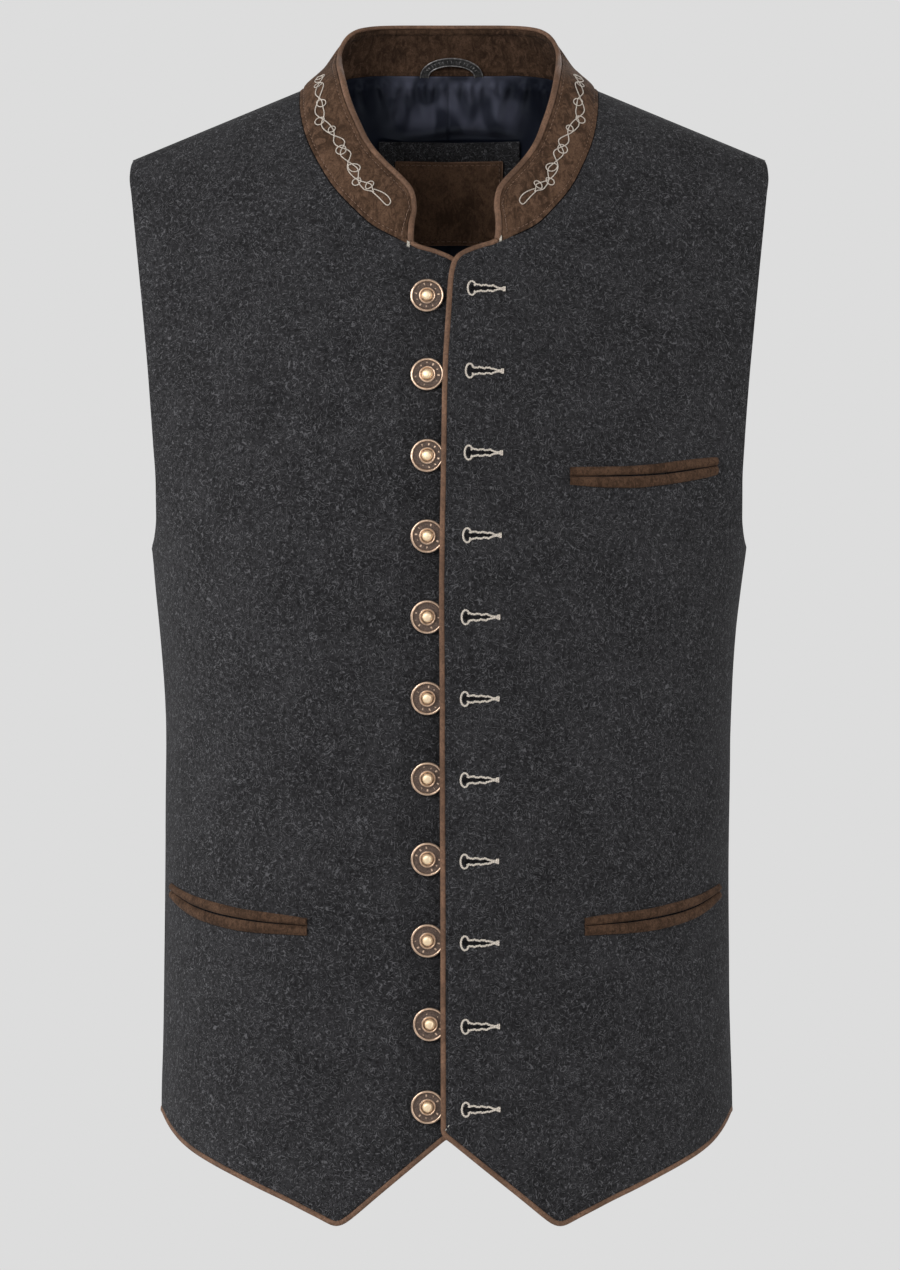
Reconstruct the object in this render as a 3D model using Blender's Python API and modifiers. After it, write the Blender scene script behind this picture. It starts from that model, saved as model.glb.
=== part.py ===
"""Folk vest of felted wool, open at the front edge, filled out as if worn.

The wool body is one surface: at each height the SECTIONS table says how wide and how deep
it is, an upright oval joins front and back, and a dome carries both up to the shoulder.
Every panel, welt, button and piping is placed on that surface. X runs to the wearer's
left, Y to the back and Z up, and the origin is the middle of the neck at shoulder height.
"""
import bisect
import math
from collections import namedtuple

import bmesh
import bpy
from mathutils import Vector

for thing in list(bpy.data.objects):
    bpy.data.objects.remove(thing)

WOOL = 0.0020
COLLAR_WALL = 0.0025
LINING_WALL = 0.0010
LINING_EASE = 0.0012
WELT_WALL = 0.0014
EDGE_PIPING = 0.0032
HEM_PIPING = 0.0038
COLLAR_PIPING = 0.0040
CLEAR = 0.0003
SEAM_GAP = 0.0009
COLLAR_GAP = 0.0013
SEAT = 0.0007
LAP_RISE = 0.0058
LAP_FLAT = 0.018
LAP_END = 0.072
UNDERLAP = 0.015
OVAL = 2.3
FRONT_DOME = 0.45
BACK_DOME = 0.12
NECK_POINT = 0.0925
SHOULDER_SLOPE = 0.414
SHOULDER_TOP = 0.0013
NAPE_START = 0.010
NAPE_END = -0.080
UNDERARM = -0.284
BUTTON_STEPS = 12

Section = namedtuple("Section", "z front_half back_half front_depth back_depth sway")
SECTIONS = [
    Section(-0.720, 0.1774, 0.1774, 0.1245, 0.1105, 0.0000),
    Section(-0.630, 0.1774, 0.1774, 0.1245, 0.1090, -0.0013),
    Section(-0.590, 0.1763, 0.1763, 0.1245, 0.1065, -0.0014),
    Section(-0.550, 0.1755, 0.1755, 0.1243, 0.1035, -0.0016),
    Section(-0.470, 0.1749, 0.1749, 0.1255, 0.0985, -0.0014),
    Section(-0.405, 0.1749, 0.1749, 0.1285, 0.1000, -0.0009),
    Section(-0.375, 0.1759, 0.1759, 0.1305, 0.1030, -0.0006),
    Section(-0.338, 0.1784, 0.1784, 0.1335, 0.1075, -0.0006),
    Section(-0.308, 0.1816, 0.1816, 0.1355, 0.1115, -0.0004),
    Section(-0.284, 0.1845, 0.1845, 0.1370, 0.1145, 0.0000),
    Section(-0.270, 0.1870, 0.1860, 0.1378, 0.1160, 0.0000),
    Section(-0.250, 0.1935, 0.1895, 0.1387, 0.1180, 0.0000),
    Section(-0.200, 0.2035, 0.1960, 0.1390, 0.1215, 0.0000),
    Section(-0.150, 0.2100, 0.2020, 0.1370, 0.1215, 0.0000),
    Section(-0.100, 0.2155, 0.2070, 0.1300, 0.1190, 0.0000),
    Section(-0.050, 0.2200, 0.2120, 0.1280, 0.1160, 0.0000),
    Section(0.050, 0.2270, 0.2160, 0.1280, 0.1150, 0.0000),
]

# How high the back rises across the nape, and how far below that the collar is sewn on.
Nape = namedtuple("Nape", "x height drop")
NAPE = [
    Nape(-0.0300, 0.0395, 0.0210),
    Nape(0.0000, 0.0405, 0.0220),
    Nape(0.0300, 0.0395, 0.0210),
    Nape(0.0450, 0.0360, 0.0180),
    Nape(0.0600, 0.0300, 0.0140),
    Nape(0.0700, 0.0235, 0.0110),
    Nape(0.0800, 0.0135, 0.0070),
    Nape(0.0880, 0.0050, 0.0030),
    Nape(0.0925, 0.0013, 0.0000),
]

# The seam between collar and front, from its lower end up to the shoulder.
Neck = namedtuple("Neck", "along x z shift")
NECK = [
    Neck(0.00, 0.0285, -0.0998, 0.0034),
    Neck(0.14, 0.0480, -0.0900, 0.0032),
    Neck(0.27, 0.0607, -0.0782, 0.0027),
    Neck(0.41, 0.0727, -0.0641, 0.0020),
    Neck(0.55, 0.0817, -0.0482, 0.0012),
    Neck(0.70, 0.0885, -0.0318, 0.0005),
    Neck(0.85, 0.0918, -0.0153, 0.0000),
    Neck(1.00, 0.0925, 0.0013, 0.0000),
]

Armhole = namedtuple("Armhole", "z front_x back_x")
ARMHOLE = [
    Armhole(-0.2840, 0.1845, 0.1845),
    Armhole(-0.2810, 0.1828, 0.1830),
    Armhole(-0.2750, 0.1812, 0.1808),
    Armhole(-0.2650, 0.1800, 0.1788),
    Armhole(-0.2450, 0.1798, 0.1775),
    Armhole(-0.2200, 0.1812, 0.1775),
    Armhole(-0.1800, 0.1842, 0.1802),
    Armhole(-0.1500, 0.1872, 0.1835),
    Armhole(-0.1200, 0.1905, 0.1870),
    Armhole(-0.0900, 0.1940, 0.1912),
    Armhole(-0.0650, 0.1970, 0.1955),
    Armhole(-0.0530, 0.1986, 0.1980),
    Armhole(-0.0460, 0.1982, 0.1980),
    Armhole(-0.0428, 0.1972, 0.1972),
]

# Middle line of the piping down the wearer's left front edge, and of its neck edge.
LEFT_NECK_EDGE = [(0.0300, -0.0999), (0.0222, -0.1020), (0.0140, -0.1048), (0.0084, -0.1073)]
LEFT_FRONT_EDGE = [
    (0.0048, -0.1097), (0.0024, -0.1133), (0.0009, -0.1188), (0.0000, -0.1252),
    (-0.0010, -0.1414), (-0.0016, -0.1560), (-0.0023, -0.1740), (-0.0028, -0.2000),
    (-0.0035, -0.2430), (-0.0043, -0.2865), (-0.0045, -0.3440), (-0.0044, -0.4000),
    (-0.0043, -0.4450), (-0.0041, -0.4880), (-0.0040, -0.5310), (-0.0039, -0.5890),
    (-0.0038, -0.6300),
]
RIGHT_NECK_EDGE = [(-0.0236, -0.1003), (-0.0160, -0.1021), (-0.0085, -0.1043), (-0.0006, -0.1075)]

# Middle line of the hem piping, from the notch at the front edge round to the side.
Hem = namedtuple("Hem", "x z")
HEM = [
    Hem(-0.0038, -0.6362), Hem(0.0000, -0.6392), Hem(0.0080, -0.6457), Hem(0.0250, -0.6599),
    Hem(0.0420, -0.6741), Hem(0.0560, -0.6860), Hem(0.0615, -0.6903), Hem(0.0650, -0.6922),
    Hem(0.0680, -0.6927), Hem(0.0715, -0.6916), Hem(0.0770, -0.6888), Hem(0.0860, -0.6845),
    Hem(0.0995, -0.6781), Hem(0.1140, -0.6719), Hem(0.1285, -0.6654), Hem(0.1420, -0.6594),
    Hem(0.1540, -0.6536), Hem(0.1630, -0.6480), Hem(0.1695, -0.6422), Hem(0.1740, -0.6369),
    Hem(0.1772, -0.6325),
]
BACK_HEM = -0.6275

# The collar's top edge, as points of its piping, against the share of the neck seam.
Rim = namedtuple("Rim", "share x y z shift")
RIM = [
    Rim(0.000, 0.0000, 0.0530, 0.0492, 0.0000),
    Rim(0.102, 0.0280, 0.0513, 0.0490, 0.0000),
    Rim(0.156, 0.0420, 0.0465, 0.0482, 0.0000),
    Rim(0.213, 0.0550, 0.0375, 0.0457, 0.0000),
    Rim(0.255, 0.0622, 0.0300, 0.0414, 0.0000),
    Rim(0.307, 0.0668, 0.0215, 0.0338, 0.0000),
    Rim(0.361, 0.0685, 0.0120, 0.0262, 0.0000),
    Rim(0.444, 0.0683, -0.0060, 0.0188, 0.0000),
    Rim(0.530, 0.0664, -0.0315, 0.0076, 0.0003),
    Rim(0.574, 0.0637, -0.0415, -0.0046, 0.0006),
    Rim(0.613, 0.0607, -0.0470, -0.0143, 0.0009),
    Rim(0.651, 0.0571, -0.0520, -0.0235, 0.0013),
    Rim(0.690, 0.0536, -0.0570, -0.0322, 0.0017),
    Rim(0.729, 0.0497, -0.0610, -0.0392, 0.0021),
    Rim(0.768, 0.0454, -0.0650, -0.0449, 0.0025),
    Rim(0.806, 0.0408, -0.0690, -0.0503, 0.0028),
    Rim(0.846, 0.0358, -0.0725, -0.0555, 0.0031),
    Rim(0.886, 0.0312, -0.0760, -0.0606, 0.0034),
    Rim(0.925, 0.0276, -0.0785, -0.0658, 0.0036),
    Rim(0.963, 0.0264, -0.0805, -0.0715, 0.0037),
    Rim(1.000, 0.0262, -0.0836, -0.0770, 0.0037),
]

# Pocket welts: the upper edge, the slit and the lower edge against the distance from the middle.
Welt = namedtuple("Welt", "x upper slit lower")
CHEST_WELT = [
    Welt(0.0722, -0.2370, -0.2422, -0.2471), Welt(0.0830, -0.2367, -0.2421, -0.2480),
    Welt(0.0934, -0.2365, -0.2419, -0.2486), Welt(0.1086, -0.2359, -0.2414, -0.2487),
    Welt(0.1245, -0.2343, -0.2403, -0.2472), Welt(0.1399, -0.2319, -0.2382, -0.2447),
    Welt(0.1561, -0.2298, -0.2353, -0.2413), Welt(0.1641, -0.2291, -0.2338, -0.2388),
]
HIP_WELT = [
    Welt(0.0839, -0.5083, -0.5127, -0.5184), Welt(0.0942, -0.5068, -0.5120, -0.5181),
    Welt(0.1083, -0.5052, -0.5111, -0.5177), Welt(0.1224, -0.5036, -0.5096, -0.5168),
    Welt(0.1369, -0.5008, -0.5073, -0.5144), Welt(0.1515, -0.4974, -0.5034, -0.5103),
    Welt(0.1610, -0.4940, -0.4990, -0.5052), Welt(0.1676, -0.4908, -0.4950, -0.4998),
]
HIP_SHIFT = -0.0027

BUTTON_X = -0.0132
BUTTON_HEIGHTS = [
    -0.1332, -0.1812, -0.2302, -0.2784, -0.3267, -0.3753, -0.4236, -0.4720, -0.5210, -0.5700,
    -0.6200,
]
Turned = namedtuple("Turned", "radius height")
BUTTON = [
    Turned(0.0000, 0.0034), Turned(0.0021, 0.0029), Turned(0.0030, 0.0017),
    Turned(0.0080, 0.0015), Turned(0.0086, 0.0022), Turned(0.0095, 0.0021),
    Turned(0.0098, 0.0012), Turned(0.0092, 0.0005), Turned(0.0030, 0.0004),
    Turned(0.0030, 0.0000), Turned(0.0000, 0.0000),
]

LABEL_BACKING = (0.0935, -0.0180, -0.0845)
LABEL_PATCH = (0.0720, -0.0298, -0.0850)
HANGER_MIDDLE = 0.0016
HANGER_SPAN = 0.0405
HANGER_RISE = 0.0134
HANGER_BAND = 0.0054
HANGER_WALL = 0.0015
HANGER_SEAT = 0.0012


def read(table, column, at):
    """A column of a table at any value of its first column, through a smooth curve."""
    key = table[0]._fields[0]
    xs = [getattr(row, key) for row in table]
    ys = [getattr(row, column) for row in table]
    if at <= xs[0]:
        return ys[0]
    if at >= xs[-1]:
        return ys[-1]
    i = bisect.bisect_right(xs, at) - 1
    slopes = [(ys[k + 1] - ys[k]) / (xs[k + 1] - xs[k]) for k in range(len(xs) - 1)]

    def tangent(k):
        if k == 0:
            return slopes[0]
        if k == len(xs) - 1:
            return slopes[-1]
        if slopes[k - 1] * slopes[k] <= 0:
            return 0.0
        return 2 * slopes[k - 1] * slopes[k] / (slopes[k - 1] + slopes[k])

    step = xs[i + 1] - xs[i]
    t = (at - xs[i]) / step
    start = (1 + 2 * t) * (1 - t) ** 2 * ys[i] + t * (1 - t) ** 2 * step * tangent(i)
    return start + t * t * (3 - 2 * t) * ys[i + 1] + t * t * (t - 1) * step * tangent(i + 1)


def blend(low, high, at):
    t = min(1.0, max(0.0, (at - low) / (high - low)))
    return t * t * (3 - 2 * t)


def crest(face, x, z=0.05):
    """Height of the line where front and back meet; the back carries on up over the nape."""
    straight = SHOULDER_TOP - SHOULDER_SLOPE * (abs(x) - NECK_POINT)
    if face == "back" and abs(x) < NECK_POINT:
        rise = read(NAPE, "height", abs(x)) - straight
        return straight + rise * blend(NAPE_END, NAPE_START, z)
    return straight


def half(face, z):
    return read(SECTIONS, face + "_half", z)


def oval(share):
    return (1 - min(1.0, abs(share)) ** OVAL) ** (1 / OVAL)


def reach(face):
    return FRONT_DOME if face == "front" else BACK_DOME


def depth(face, x, z):
    """Signed Y of the wool's middle surface."""
    rest = max(0.0, 1 - max(crest(face, x, z) - z, 0.0) / reach(face))
    out = read(SECTIONS, face + "_depth", z) * math.sqrt(1 - rest * rest)
    out = out * oval(x / half(face, z))
    return -out if face == "front" else out


def turned(face, x, z):
    """The drop below the crest as an angle round the dome, which goes on evenly below it."""
    rest = max(crest(face, x, z) - z, 0.0) / reach(face)
    return math.acos(1 - rest) if rest < 1 else math.pi / 2 + rest - 1


def swing(face, x, z):
    """The distance from the middle as an angle round the oval."""
    return math.asin(max(-1.0, min(1.0, x / half(face, z))))


def spot(face, across, down):
    """The x and z where the two angles meet."""
    x, z = 0.1, 0.0
    for _ in range(20):
        x = half(face, z) * math.sin(across)
        if down < math.pi / 2:
            z = crest(face, x, z) - reach(face) * (1 - math.cos(down))
        else:
            z = crest(face, x, z) - reach(face) * (1 + down - math.pi / 2)
    return x, z


def lap(x):
    """How far the wearer's left front stands off the right one that it lies on."""
    return LAP_RISE * (1 - blend(LAP_FLAT, LAP_END, x))


def at(face, x, z, lift=0.0, lapped=False):
    """The point of the wool at x and z, moved outwards by lift."""
    step = 0.0008
    slope_x = (depth(face, x + step, z) - depth(face, x - step, z)) / (2 * step)
    slope_z = (depth(face, x, z + step) - depth(face, x, z - step)) / (2 * step)
    out = Vector((-slope_x, 1.0, -slope_z)).normalized()
    if face == "front":
        out.negate()
    if lapped:
        lift = lift + lap(x)
    point = Vector((x, depth(face, x, z), z)) + out * lift
    point.x += read(SECTIONS, "sway", z)
    return point, out


def smooth(points, parts):
    """Points of a rounded line through the given ones, with so many parts between two."""
    vectors = [Vector(p) for p in points]
    ends = [2 * vectors[0] - vectors[1]] + vectors + [2 * vectors[-1] - vectors[-2]]
    line = []
    for a, b, c, d in zip(ends, ends[1:], ends[2:], ends[3:]):
        for k in range(parts):
            t = k / parts
            part = b * 2 + (c - a) * t + (a * 2 - b * 5 + c * 4 - d) * t * t
            line.append((part + (b * 3 - a - c * 3 + d) * t * t * t) * 0.5)
    return line + [vectors[-1]]


def beside(line, by):
    """The same flat line moved sideways, to the right of its direction."""
    moved = []
    for k, point in enumerate(line):
        along = line[min(k + 1, len(line) - 1)] - line[max(k - 1, 0)]
        along.normalize()
        moved.append(Vector((point.x + along.y * by, point.y - along.x * by)))
    return moved


def spaced(line, stations):
    """Points at the given lengths along a line; a share of the whole where below 1."""
    lengths = [0.0]
    for a, b in zip(line, line[1:]):
        lengths.append(lengths[-1] + (b - a).length)
    found = []
    for station in stations:
        want = min(station, 1.0) * lengths[-1]
        k = min(len(line) - 2, max(0, bisect.bisect_right(lengths, want) - 1))
        gap = lengths[k + 1] - lengths[k]
        found.append(line[k].lerp(line[k + 1], (want - lengths[k]) / gap if gap else 0.0))
    return found


def rim(edge, inside, by):
    """A line that runs beside an edge, outside the cloth and at one distance from it."""
    line = []
    for k, point in enumerate(edge):
        away = point - inside[k]
        facings = []
        for one, two in ((k - 1, k), (k, k + 1)):
            if one < 0 or two >= len(edge):
                continue
            along = (edge[two] - edge[one]).normalized()
            facings.append((away - along * away.dot(along)).normalized())
        first, last = facings[0], facings[-1]
        line.append(point + (first + last) * (by / (1 + first.dot(last))))
    return line


def material(name, colour, roughness, metallic=0.0):
    made = bpy.data.materials.new(name)
    made.use_nodes = True
    shader = made.node_tree.nodes["Principled BSDF"]
    shader.inputs["Base Color"].default_value = (*colour, 1.0)
    shader.inputs["Roughness"].default_value = roughness
    shader.inputs["Metallic"].default_value = metallic
    return made


vest = bpy.data.collections.new("folk_vest")
bpy.context.scene.collection.children.link(vest)


def place(name, data, surface):
    made = bpy.data.objects.new(name, data)
    vest.objects.link(made)
    data.materials.append(surface)
    return made


def cloth(name, rows, wall, surface):
    """A shell through rows of points: a grid laid onto them and given its thickness."""
    work = bmesh.new()
    across, up = len(rows[0]), len(rows)
    bmesh.ops.create_grid(work, x_segments=across - 1, y_segments=up - 1, size=1.0)
    work.verts.ensure_lookup_table()
    for k, vert in enumerate(work.verts):
        vert.co = rows[k // across][k % across]
    mesh = bpy.data.meshes.new(name)
    work.to_mesh(mesh)
    work.free()
    mesh.shade_smooth()
    made = place(name, mesh, surface)
    shell = made.modifiers.new("wall", "SOLIDIFY")
    shell.thickness = wall
    shell.offset = 0.0
    return made


def piping(name, points, thickness, surface):
    """A round edge: a curve with a bevel and closed ends."""
    curve = bpy.data.curves.new(name, "CURVE")
    curve.dimensions = "3D"
    curve.bevel_depth = thickness / 2
    curve.bevel_resolution = 2
    curve.use_fill_caps = True
    line = curve.splines.new("POLY")
    line.points.add(len(points) - 1)
    for knot, point in zip(line.points, points):
        knot.co = (*point, 1.0)
    return place(name, curve, surface)


wool = material("wool", (0.036, 0.036, 0.037), 0.95)
suede = material("suede", (0.085, 0.052, 0.036), 0.90)
leather = material("leather", (0.17, 0.095, 0.055), 0.55)
satin = material("satin", (0.012, 0.014, 0.024), 0.30)
brass = material("brass", (0.62, 0.44, 0.29), 0.32, 1.0)
gunmetal = material("gunmetal", (0.12, 0.12, 0.12), 0.40, 1.0)


def local(point):
    """A flat point with the body's sideways sway taken out."""
    return Vector((point[0] - read(SECTIONS, "sway", point[1]), point[1]))


def neck_seam(sign):
    """The front part of the neck seam as flat points, from the shoulder down, for one side."""
    points = []
    for row in reversed(NECK):
        points.append(Vector((row.x + sign * row.shift, row.z)))
    return smooth(points, 6)


def hem_edge():
    return smooth([(h.x, h.z) for h in HEM], 4)


HEM_LINE = hem_edge()
HEM_CUT = beside(HEM_LINE, -(HEM_PIPING / 2 + CLEAR))


def height_on(line, x):
    """The height of a flat line at x."""
    for a, b in zip(line, line[1:]):
        if (a.x - x) * (b.x - x) <= 0 and a.x != b.x:
            return a.y + (b.y - a.y) * (x - a.x) / (b.x - a.x)
    return line[0].y if abs(line[0].x - x) < abs(line[-1].x - x) else line[-1].y


COLLAR_PARTS = 36
SEAM_AT = [0.0, 0.035, 0.085, 0.155, 0.24, 0.34, 0.45, 0.56, 0.67, 0.78, 0.89, 1.0]
EDGE_AT = [
    0.0100, 0.0280, 0.0430, 0.0570, 0.0720, 0.0950, 0.1250, 0.1600, 0.2000, 0.2500, 0.3150,
    0.4000, 0.5100, 0.6300, 0.7400, 0.8400,
]
OUTER_AT = [
    0.0, 0.006, 0.015, 0.028, 0.046, 0.069, 0.095, 0.122, 0.150, 0.178, 0.205, 0.231,
    0.254, 0.275, 0.294, 0.311, 0.329, 0.349, 0.370, 0.389, 0.410, 0.447, 0.497, 0.568, 0.657,
    0.750, 0.830, 0.900,
]
BACK_MIDDLE_AT = [
    0.0, 0.008, 0.020, 0.038, 0.062, 0.095, 0.138, 0.190, 0.245, 0.302, 0.356, 0.408, 0.480,
    0.580, 0.700, 0.850, 1.0,
]
BACK_SIDE_AT = [
    0.0, 0.008, 0.022, 0.044, 0.073, 0.110, 0.155, 0.204, 0.254, 0.304, 0.352, 0.398, 0.468,
    0.570, 0.695, 0.850, 1.0,
]
BACK_STATIONS = [
    0.0, 0.0240, 0.0430, 0.0570, 0.0680, 0.0760, 0.0830, 0.0888, 0.0925, 0.1130, 0.1400, 0.1680,
    0.1880,
]
HEM_SHARES = [0.45, 0.85, 1.0]
HEM_STATIONS = [
    0.030, 0.0455, 0.0560, 0.0625, 0.0665, 0.0710, 0.0780, 0.0890, 0.1040, 0.1200, 0.1360,
    0.1500, 0.1610, 0.1690, 0.1735,
]


def armhole_line(face):
    """Armhole and side seam as one flat line from the shoulder tip to the hem."""
    line = []
    for k in range(60):
        z = ARMHOLE[-1].z + (UNDERARM - ARMHOLE[-1].z) * k / 60
        line.append(Vector((read(ARMHOLE, face + "_x", z), z)))
    line[0].y = crest(face, line[0].x)
    end = HEM_CUT[-1].y if face == "front" else BACK_HEM - 0.0050
    for k in range(31):
        z = UNDERARM + (end - UNDERARM) * k / 30
        line.append(Vector((half(face, z), z)))
    return line


def front_rows(side):
    """Rows of points of a front panel, from the shoulder down, the front edge first."""
    sign = 1 if side == "left" else -1
    seam = neck_seam(sign)
    if side == "left":
        edge = smooth([local(p) for p in LEFT_NECK_EDGE + LEFT_FRONT_EDGE], 4)
        cut = beside(edge, -(EDGE_PIPING / 2 + CLEAR))
    else:
        neck = smooth([(-p[0], p[1]) for p in RIGHT_NECK_EDGE], 4)
        cut = beside(neck, -(EDGE_PIPING / 2 + CLEAR))
        cut.append(Vector((-UNDERLAP, -0.1195)))
        cut.append(Vector((-UNDERLAP, -0.6400)))
    corner = cut[-1]
    if side == "left":
        corner = Vector((corner.x, height_on(HEM_CUT, corner.x)))
        cut = [p for p in cut if p.y > corner.y + 0.002] + [corner]
    outer = spaced(armhole_line("front"), OUTER_AT)
    inner = spaced(seam, SEAM_AT) + spaced(cut, EDGE_AT)
    stations = [corner.x] + [x for x in (0.004, 0.016) if x > corner.x + 0.003]
    stations = stations + HEM_STATIONS + [half("front", outer[-1].y)]
    hem = []
    for x in stations:
        z = height_on(HEM_CUT, max(x, HEM_CUT[0].x)) if x > HEM_CUT[0].x else corner.y
        hem.append(Vector((x, z)))
    hem[-1] = Vector((half("front", HEM_CUT[-1].y), HEM_CUT[-1].y))
    angles = [swing("front", p.x, p.y) for p in hem]
    shares = [(a - angles[0]) / (angles[-1] - angles[0]) for a in angles]
    shares[-1] = 1.0
    grid = []
    for a, b in zip(inner, outer):
        side_on = swing("front", b.x, b.y)
        start = (swing("front", a.x, a.y), turned("front", a.x, a.y))
        end = (side_on, turned("front", b.x, b.y))
        row = []
        for share in shares:
            row.append(spot("front", start[0] + (end[0] - start[0]) * share,
                            start[1] + (end[1] - start[1]) * share))
        grid.append(row)
    last = grid[-1]
    for share in HEM_SHARES:
        row = []
        for above, below in zip(last, hem):
            z = above[1] + (below.y - above[1]) * share
            turn_above = swing("front", *above)
            turn_below = swing("front", below.x, below.y)
            across = turn_above + (turn_below - turn_above) * share
            row.append((half("front", z) * math.sin(across), z))
        grid.append(row)
    solid = []
    for row in grid:
        line = []
        for x, z in row:
            point = at("front", x, z, lapped=side == "left")[0]
            point.y -= SEAM_GAP / 2
            if side == "right":
                point.x = 2 * read(SECTIONS, "sway", z) - point.x
            line.append(point)
        solid.append(line)
    return solid


def back_rows(lift=0.0):
    """Rows of points across the back, from the neck and shoulders down."""
    outer = spaced(armhole_line("back"), BACK_SIDE_AT)
    high = crest("back", 0.0) - read(NAPE, "drop", 0.0)
    tip = swing("back", outer[0].x, outer[0].y)
    half_shares = [swing("back", x, crest("back", x)) / tip for x in BACK_STATIONS] + [1.0]
    shares = [-share for share in reversed(half_shares[1:])] + half_shares
    grid = []
    for middle, edge in zip(BACK_MIDDLE_AT, outer):
        z_mid = high + (BACK_HEM - high) * middle
        down_mid = turned("back", 0.0, z_mid)
        down_side = turned("back", edge.x, edge.y)
        across = swing("back", edge.x, edge.y)
        fade = 1 - blend(0.0, 0.113, middle)
        row = []
        for share in shares:
            down = down_mid + (down_side - down_mid) * share ** 2
            x_top = spot("back", tip * share, 0.0)[0]
            drop = read(NAPE, "drop", abs(x_top)) if abs(x_top) < NECK_POINT else 0.0
            top = turned("back", x_top, crest("back", x_top) - drop)
            straight = turned("back", 0.0, high) * (1 - share ** 2)
            x, z = spot("back", across * share, down + (top - straight) * fade)
            level = z_mid + (edge.y - z_mid) * share ** 2
            z += (level - z) * blend(0.02, 0.30, middle)
            row.append((half("back", z) * math.sin(across * share), z))
        grid.append(row)
    solid = []
    for row in grid:
        line = []
        for x, z in row:
            point = at("back", x, z, lift)[0]
            point.y += SEAM_GAP / 2
            line.append(point)
        solid.append(line)
    return solid


def seam_point(share):
    """A point of the whole neck seam, share 0 at the nape and 1 or -1 at a collar end."""
    sign = 1 if share >= 0 else -1
    points = []
    for k in range(25):
        x = NECK_POINT * k / 24
        z = crest("back", x) - read(NAPE, "drop", x)
        points.append(Vector((x, depth("back", x, z), z)))
    for flat in neck_seam(sign)[1:]:
        points.append(Vector((flat.x, depth("front", flat.x, flat.y), flat.y)))
    return spaced(points, [abs(share)])[0]


def collar_point(share, up):
    """A point of the collar: up is 0 at the seam and 1 on the middle line of its piping."""
    sign = 1 if share >= 0 else -1
    low = seam_point(share)
    size = abs(share)
    top = Vector((
        read(RIM, "x", size) + sign * read(RIM, "shift", size),
        read(RIM, "y", size),
        read(RIM, "z", size),
    ))
    point = low.lerp(top, up)
    bulge = 0.0012 * math.sin(math.pi * min(1.0, max(0.0, up)))
    out = Vector((point.x, point.y * 0.8, 0.0)).normalized()
    point = point + Vector((out.x, out.y, 0.5)) * bulge
    if sign > 0 and low.y < 0:
        flat = (low.x, low.z)
        point += at("front", *flat, lapped=True)[0] - at("front", *flat)[0]
    point.x *= sign
    return point


def collar_rows():
    """Rows of points round the collar, from the wearer's right end to the left one."""
    rows = [[], [], [], []]
    for k in range(-COLLAR_PARTS, COLLAR_PARTS + 1):
        share = k / COLLAR_PARTS
        length = (collar_point(share, 1.0) - collar_point(share, 0.0)).length
        low = COLLAR_GAP / length
        high = 1 - (COLLAR_PIPING / 2 + CLEAR) / length
        for j, row in enumerate(rows):
            row.append(collar_point(share, low + (high - low) * j / 3))
    for row in rows:
        for end, near, far in ((0, 1, 2), (-1, -2, -3)):
            inward = (row[near] - row[end]) * Vector((1.0, 1.0, 0.0))
            row[end] = row[end] + inward.normalized() * (COLLAR_PIPING / 2 + CLEAR)
            row[near] = row[end].lerp(row[far], 0.5)
    return rows


def collar_edge(rows):
    """Middle line of the collar's piping: up one front edge, round the rim, down the other."""
    count = len(rows)
    edge = [row[0] for row in rows[:-1]] + rows[-1] + [row[-1] for row in reversed(rows[:-1])]
    inside = [row[1] for row in rows[:-1]] + rows[-2] + [row[-2] for row in reversed(rows[:-1])]
    inside[count - 1] = rows[-2][1]
    inside[-count] = rows[-2][-2]
    line = rim(edge, inside, COLLAR_PIPING / 2 + CLEAR)
    for end, near in ((0, 1), (-1, -2)):
        line[end] = line[end] + (line[near] - line[end]).normalized() * 0.0016
    return line


def hem_rim(grid, first):
    """The lower edge of a panel, and the points just inside it, from the given column."""
    return grid[-1][first:], grid[-2][first:]


def left_edge(grid):
    """Middle line of the left front's piping: neck edge, front edge and hem in one."""
    rows = grid[len(SEAM_AT):]
    edge = [row[0] for row in rows] + grid[-1][1:]
    inside = [row[1] for row in rows] + grid[-2][1:]
    inside[len(rows) - 1] = grid[-2][1]
    return rim(edge, inside, EDGE_PIPING / 2 + CLEAR)


def right_neck(grid):
    rows = [row for row in grid[len(SEAM_AT):] if row[0].x < 0.0060 and row[0].z > -0.115]
    return rim([row[0] for row in rows], [row[1] for row in rows], EDGE_PIPING / 2 + CLEAR)


def strip(name, table, upper, lower, place_at, surface):
    """A pocket welt: a narrow strip just off the wool, between two columns of its table."""
    rows = [[], []]
    wide = half("front", table[0].upper)
    start, end = math.asin(table[0].x / wide), math.asin(table[-1].x / wide)
    for k in range(WELT_PARTS + 1):
        x = wide * math.sin(start + (end - start) * k / WELT_PARTS)
        high, low = read(table, upper, x), read(table, lower, x)
        if upper == "slit":
            high -= CLEAR
        if lower == "slit":
            low += CLEAR
        rows[0].append(place_at(x, high))
        rows[1].append(place_at(x, low))
    return cloth(name, rows, WELT_WALL, surface)


WELT_PARTS = 14
WELT_LIFT = WOOL / 2 + SEAT + WELT_WALL / 2

right_grid = front_rows("right")
left_grid = front_rows("left")
cloth("front_right", right_grid, WOOL, wool)
cloth("front_left", left_grid, WOOL, wool)
cloth("back", back_rows(), WOOL, wool)
collar_grid = collar_rows()
cloth("collar", collar_grid, COLLAR_WALL, suede)

piping("piping_collar", collar_edge(collar_grid), COLLAR_PIPING, leather)
piping("piping_front_left", left_edge(left_grid), EDGE_PIPING, leather)
piping("piping_neck_right", right_neck(right_grid), EDGE_PIPING, leather)
right_hem = [k for k, point in enumerate(right_grid[-1]) if point.x < -0.0035][0]
right_hem_line = rim(*hem_rim(right_grid, right_hem), EDGE_PIPING / 2 + CLEAR)
piping("piping_hem_right", right_hem_line, EDGE_PIPING, leather)


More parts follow.
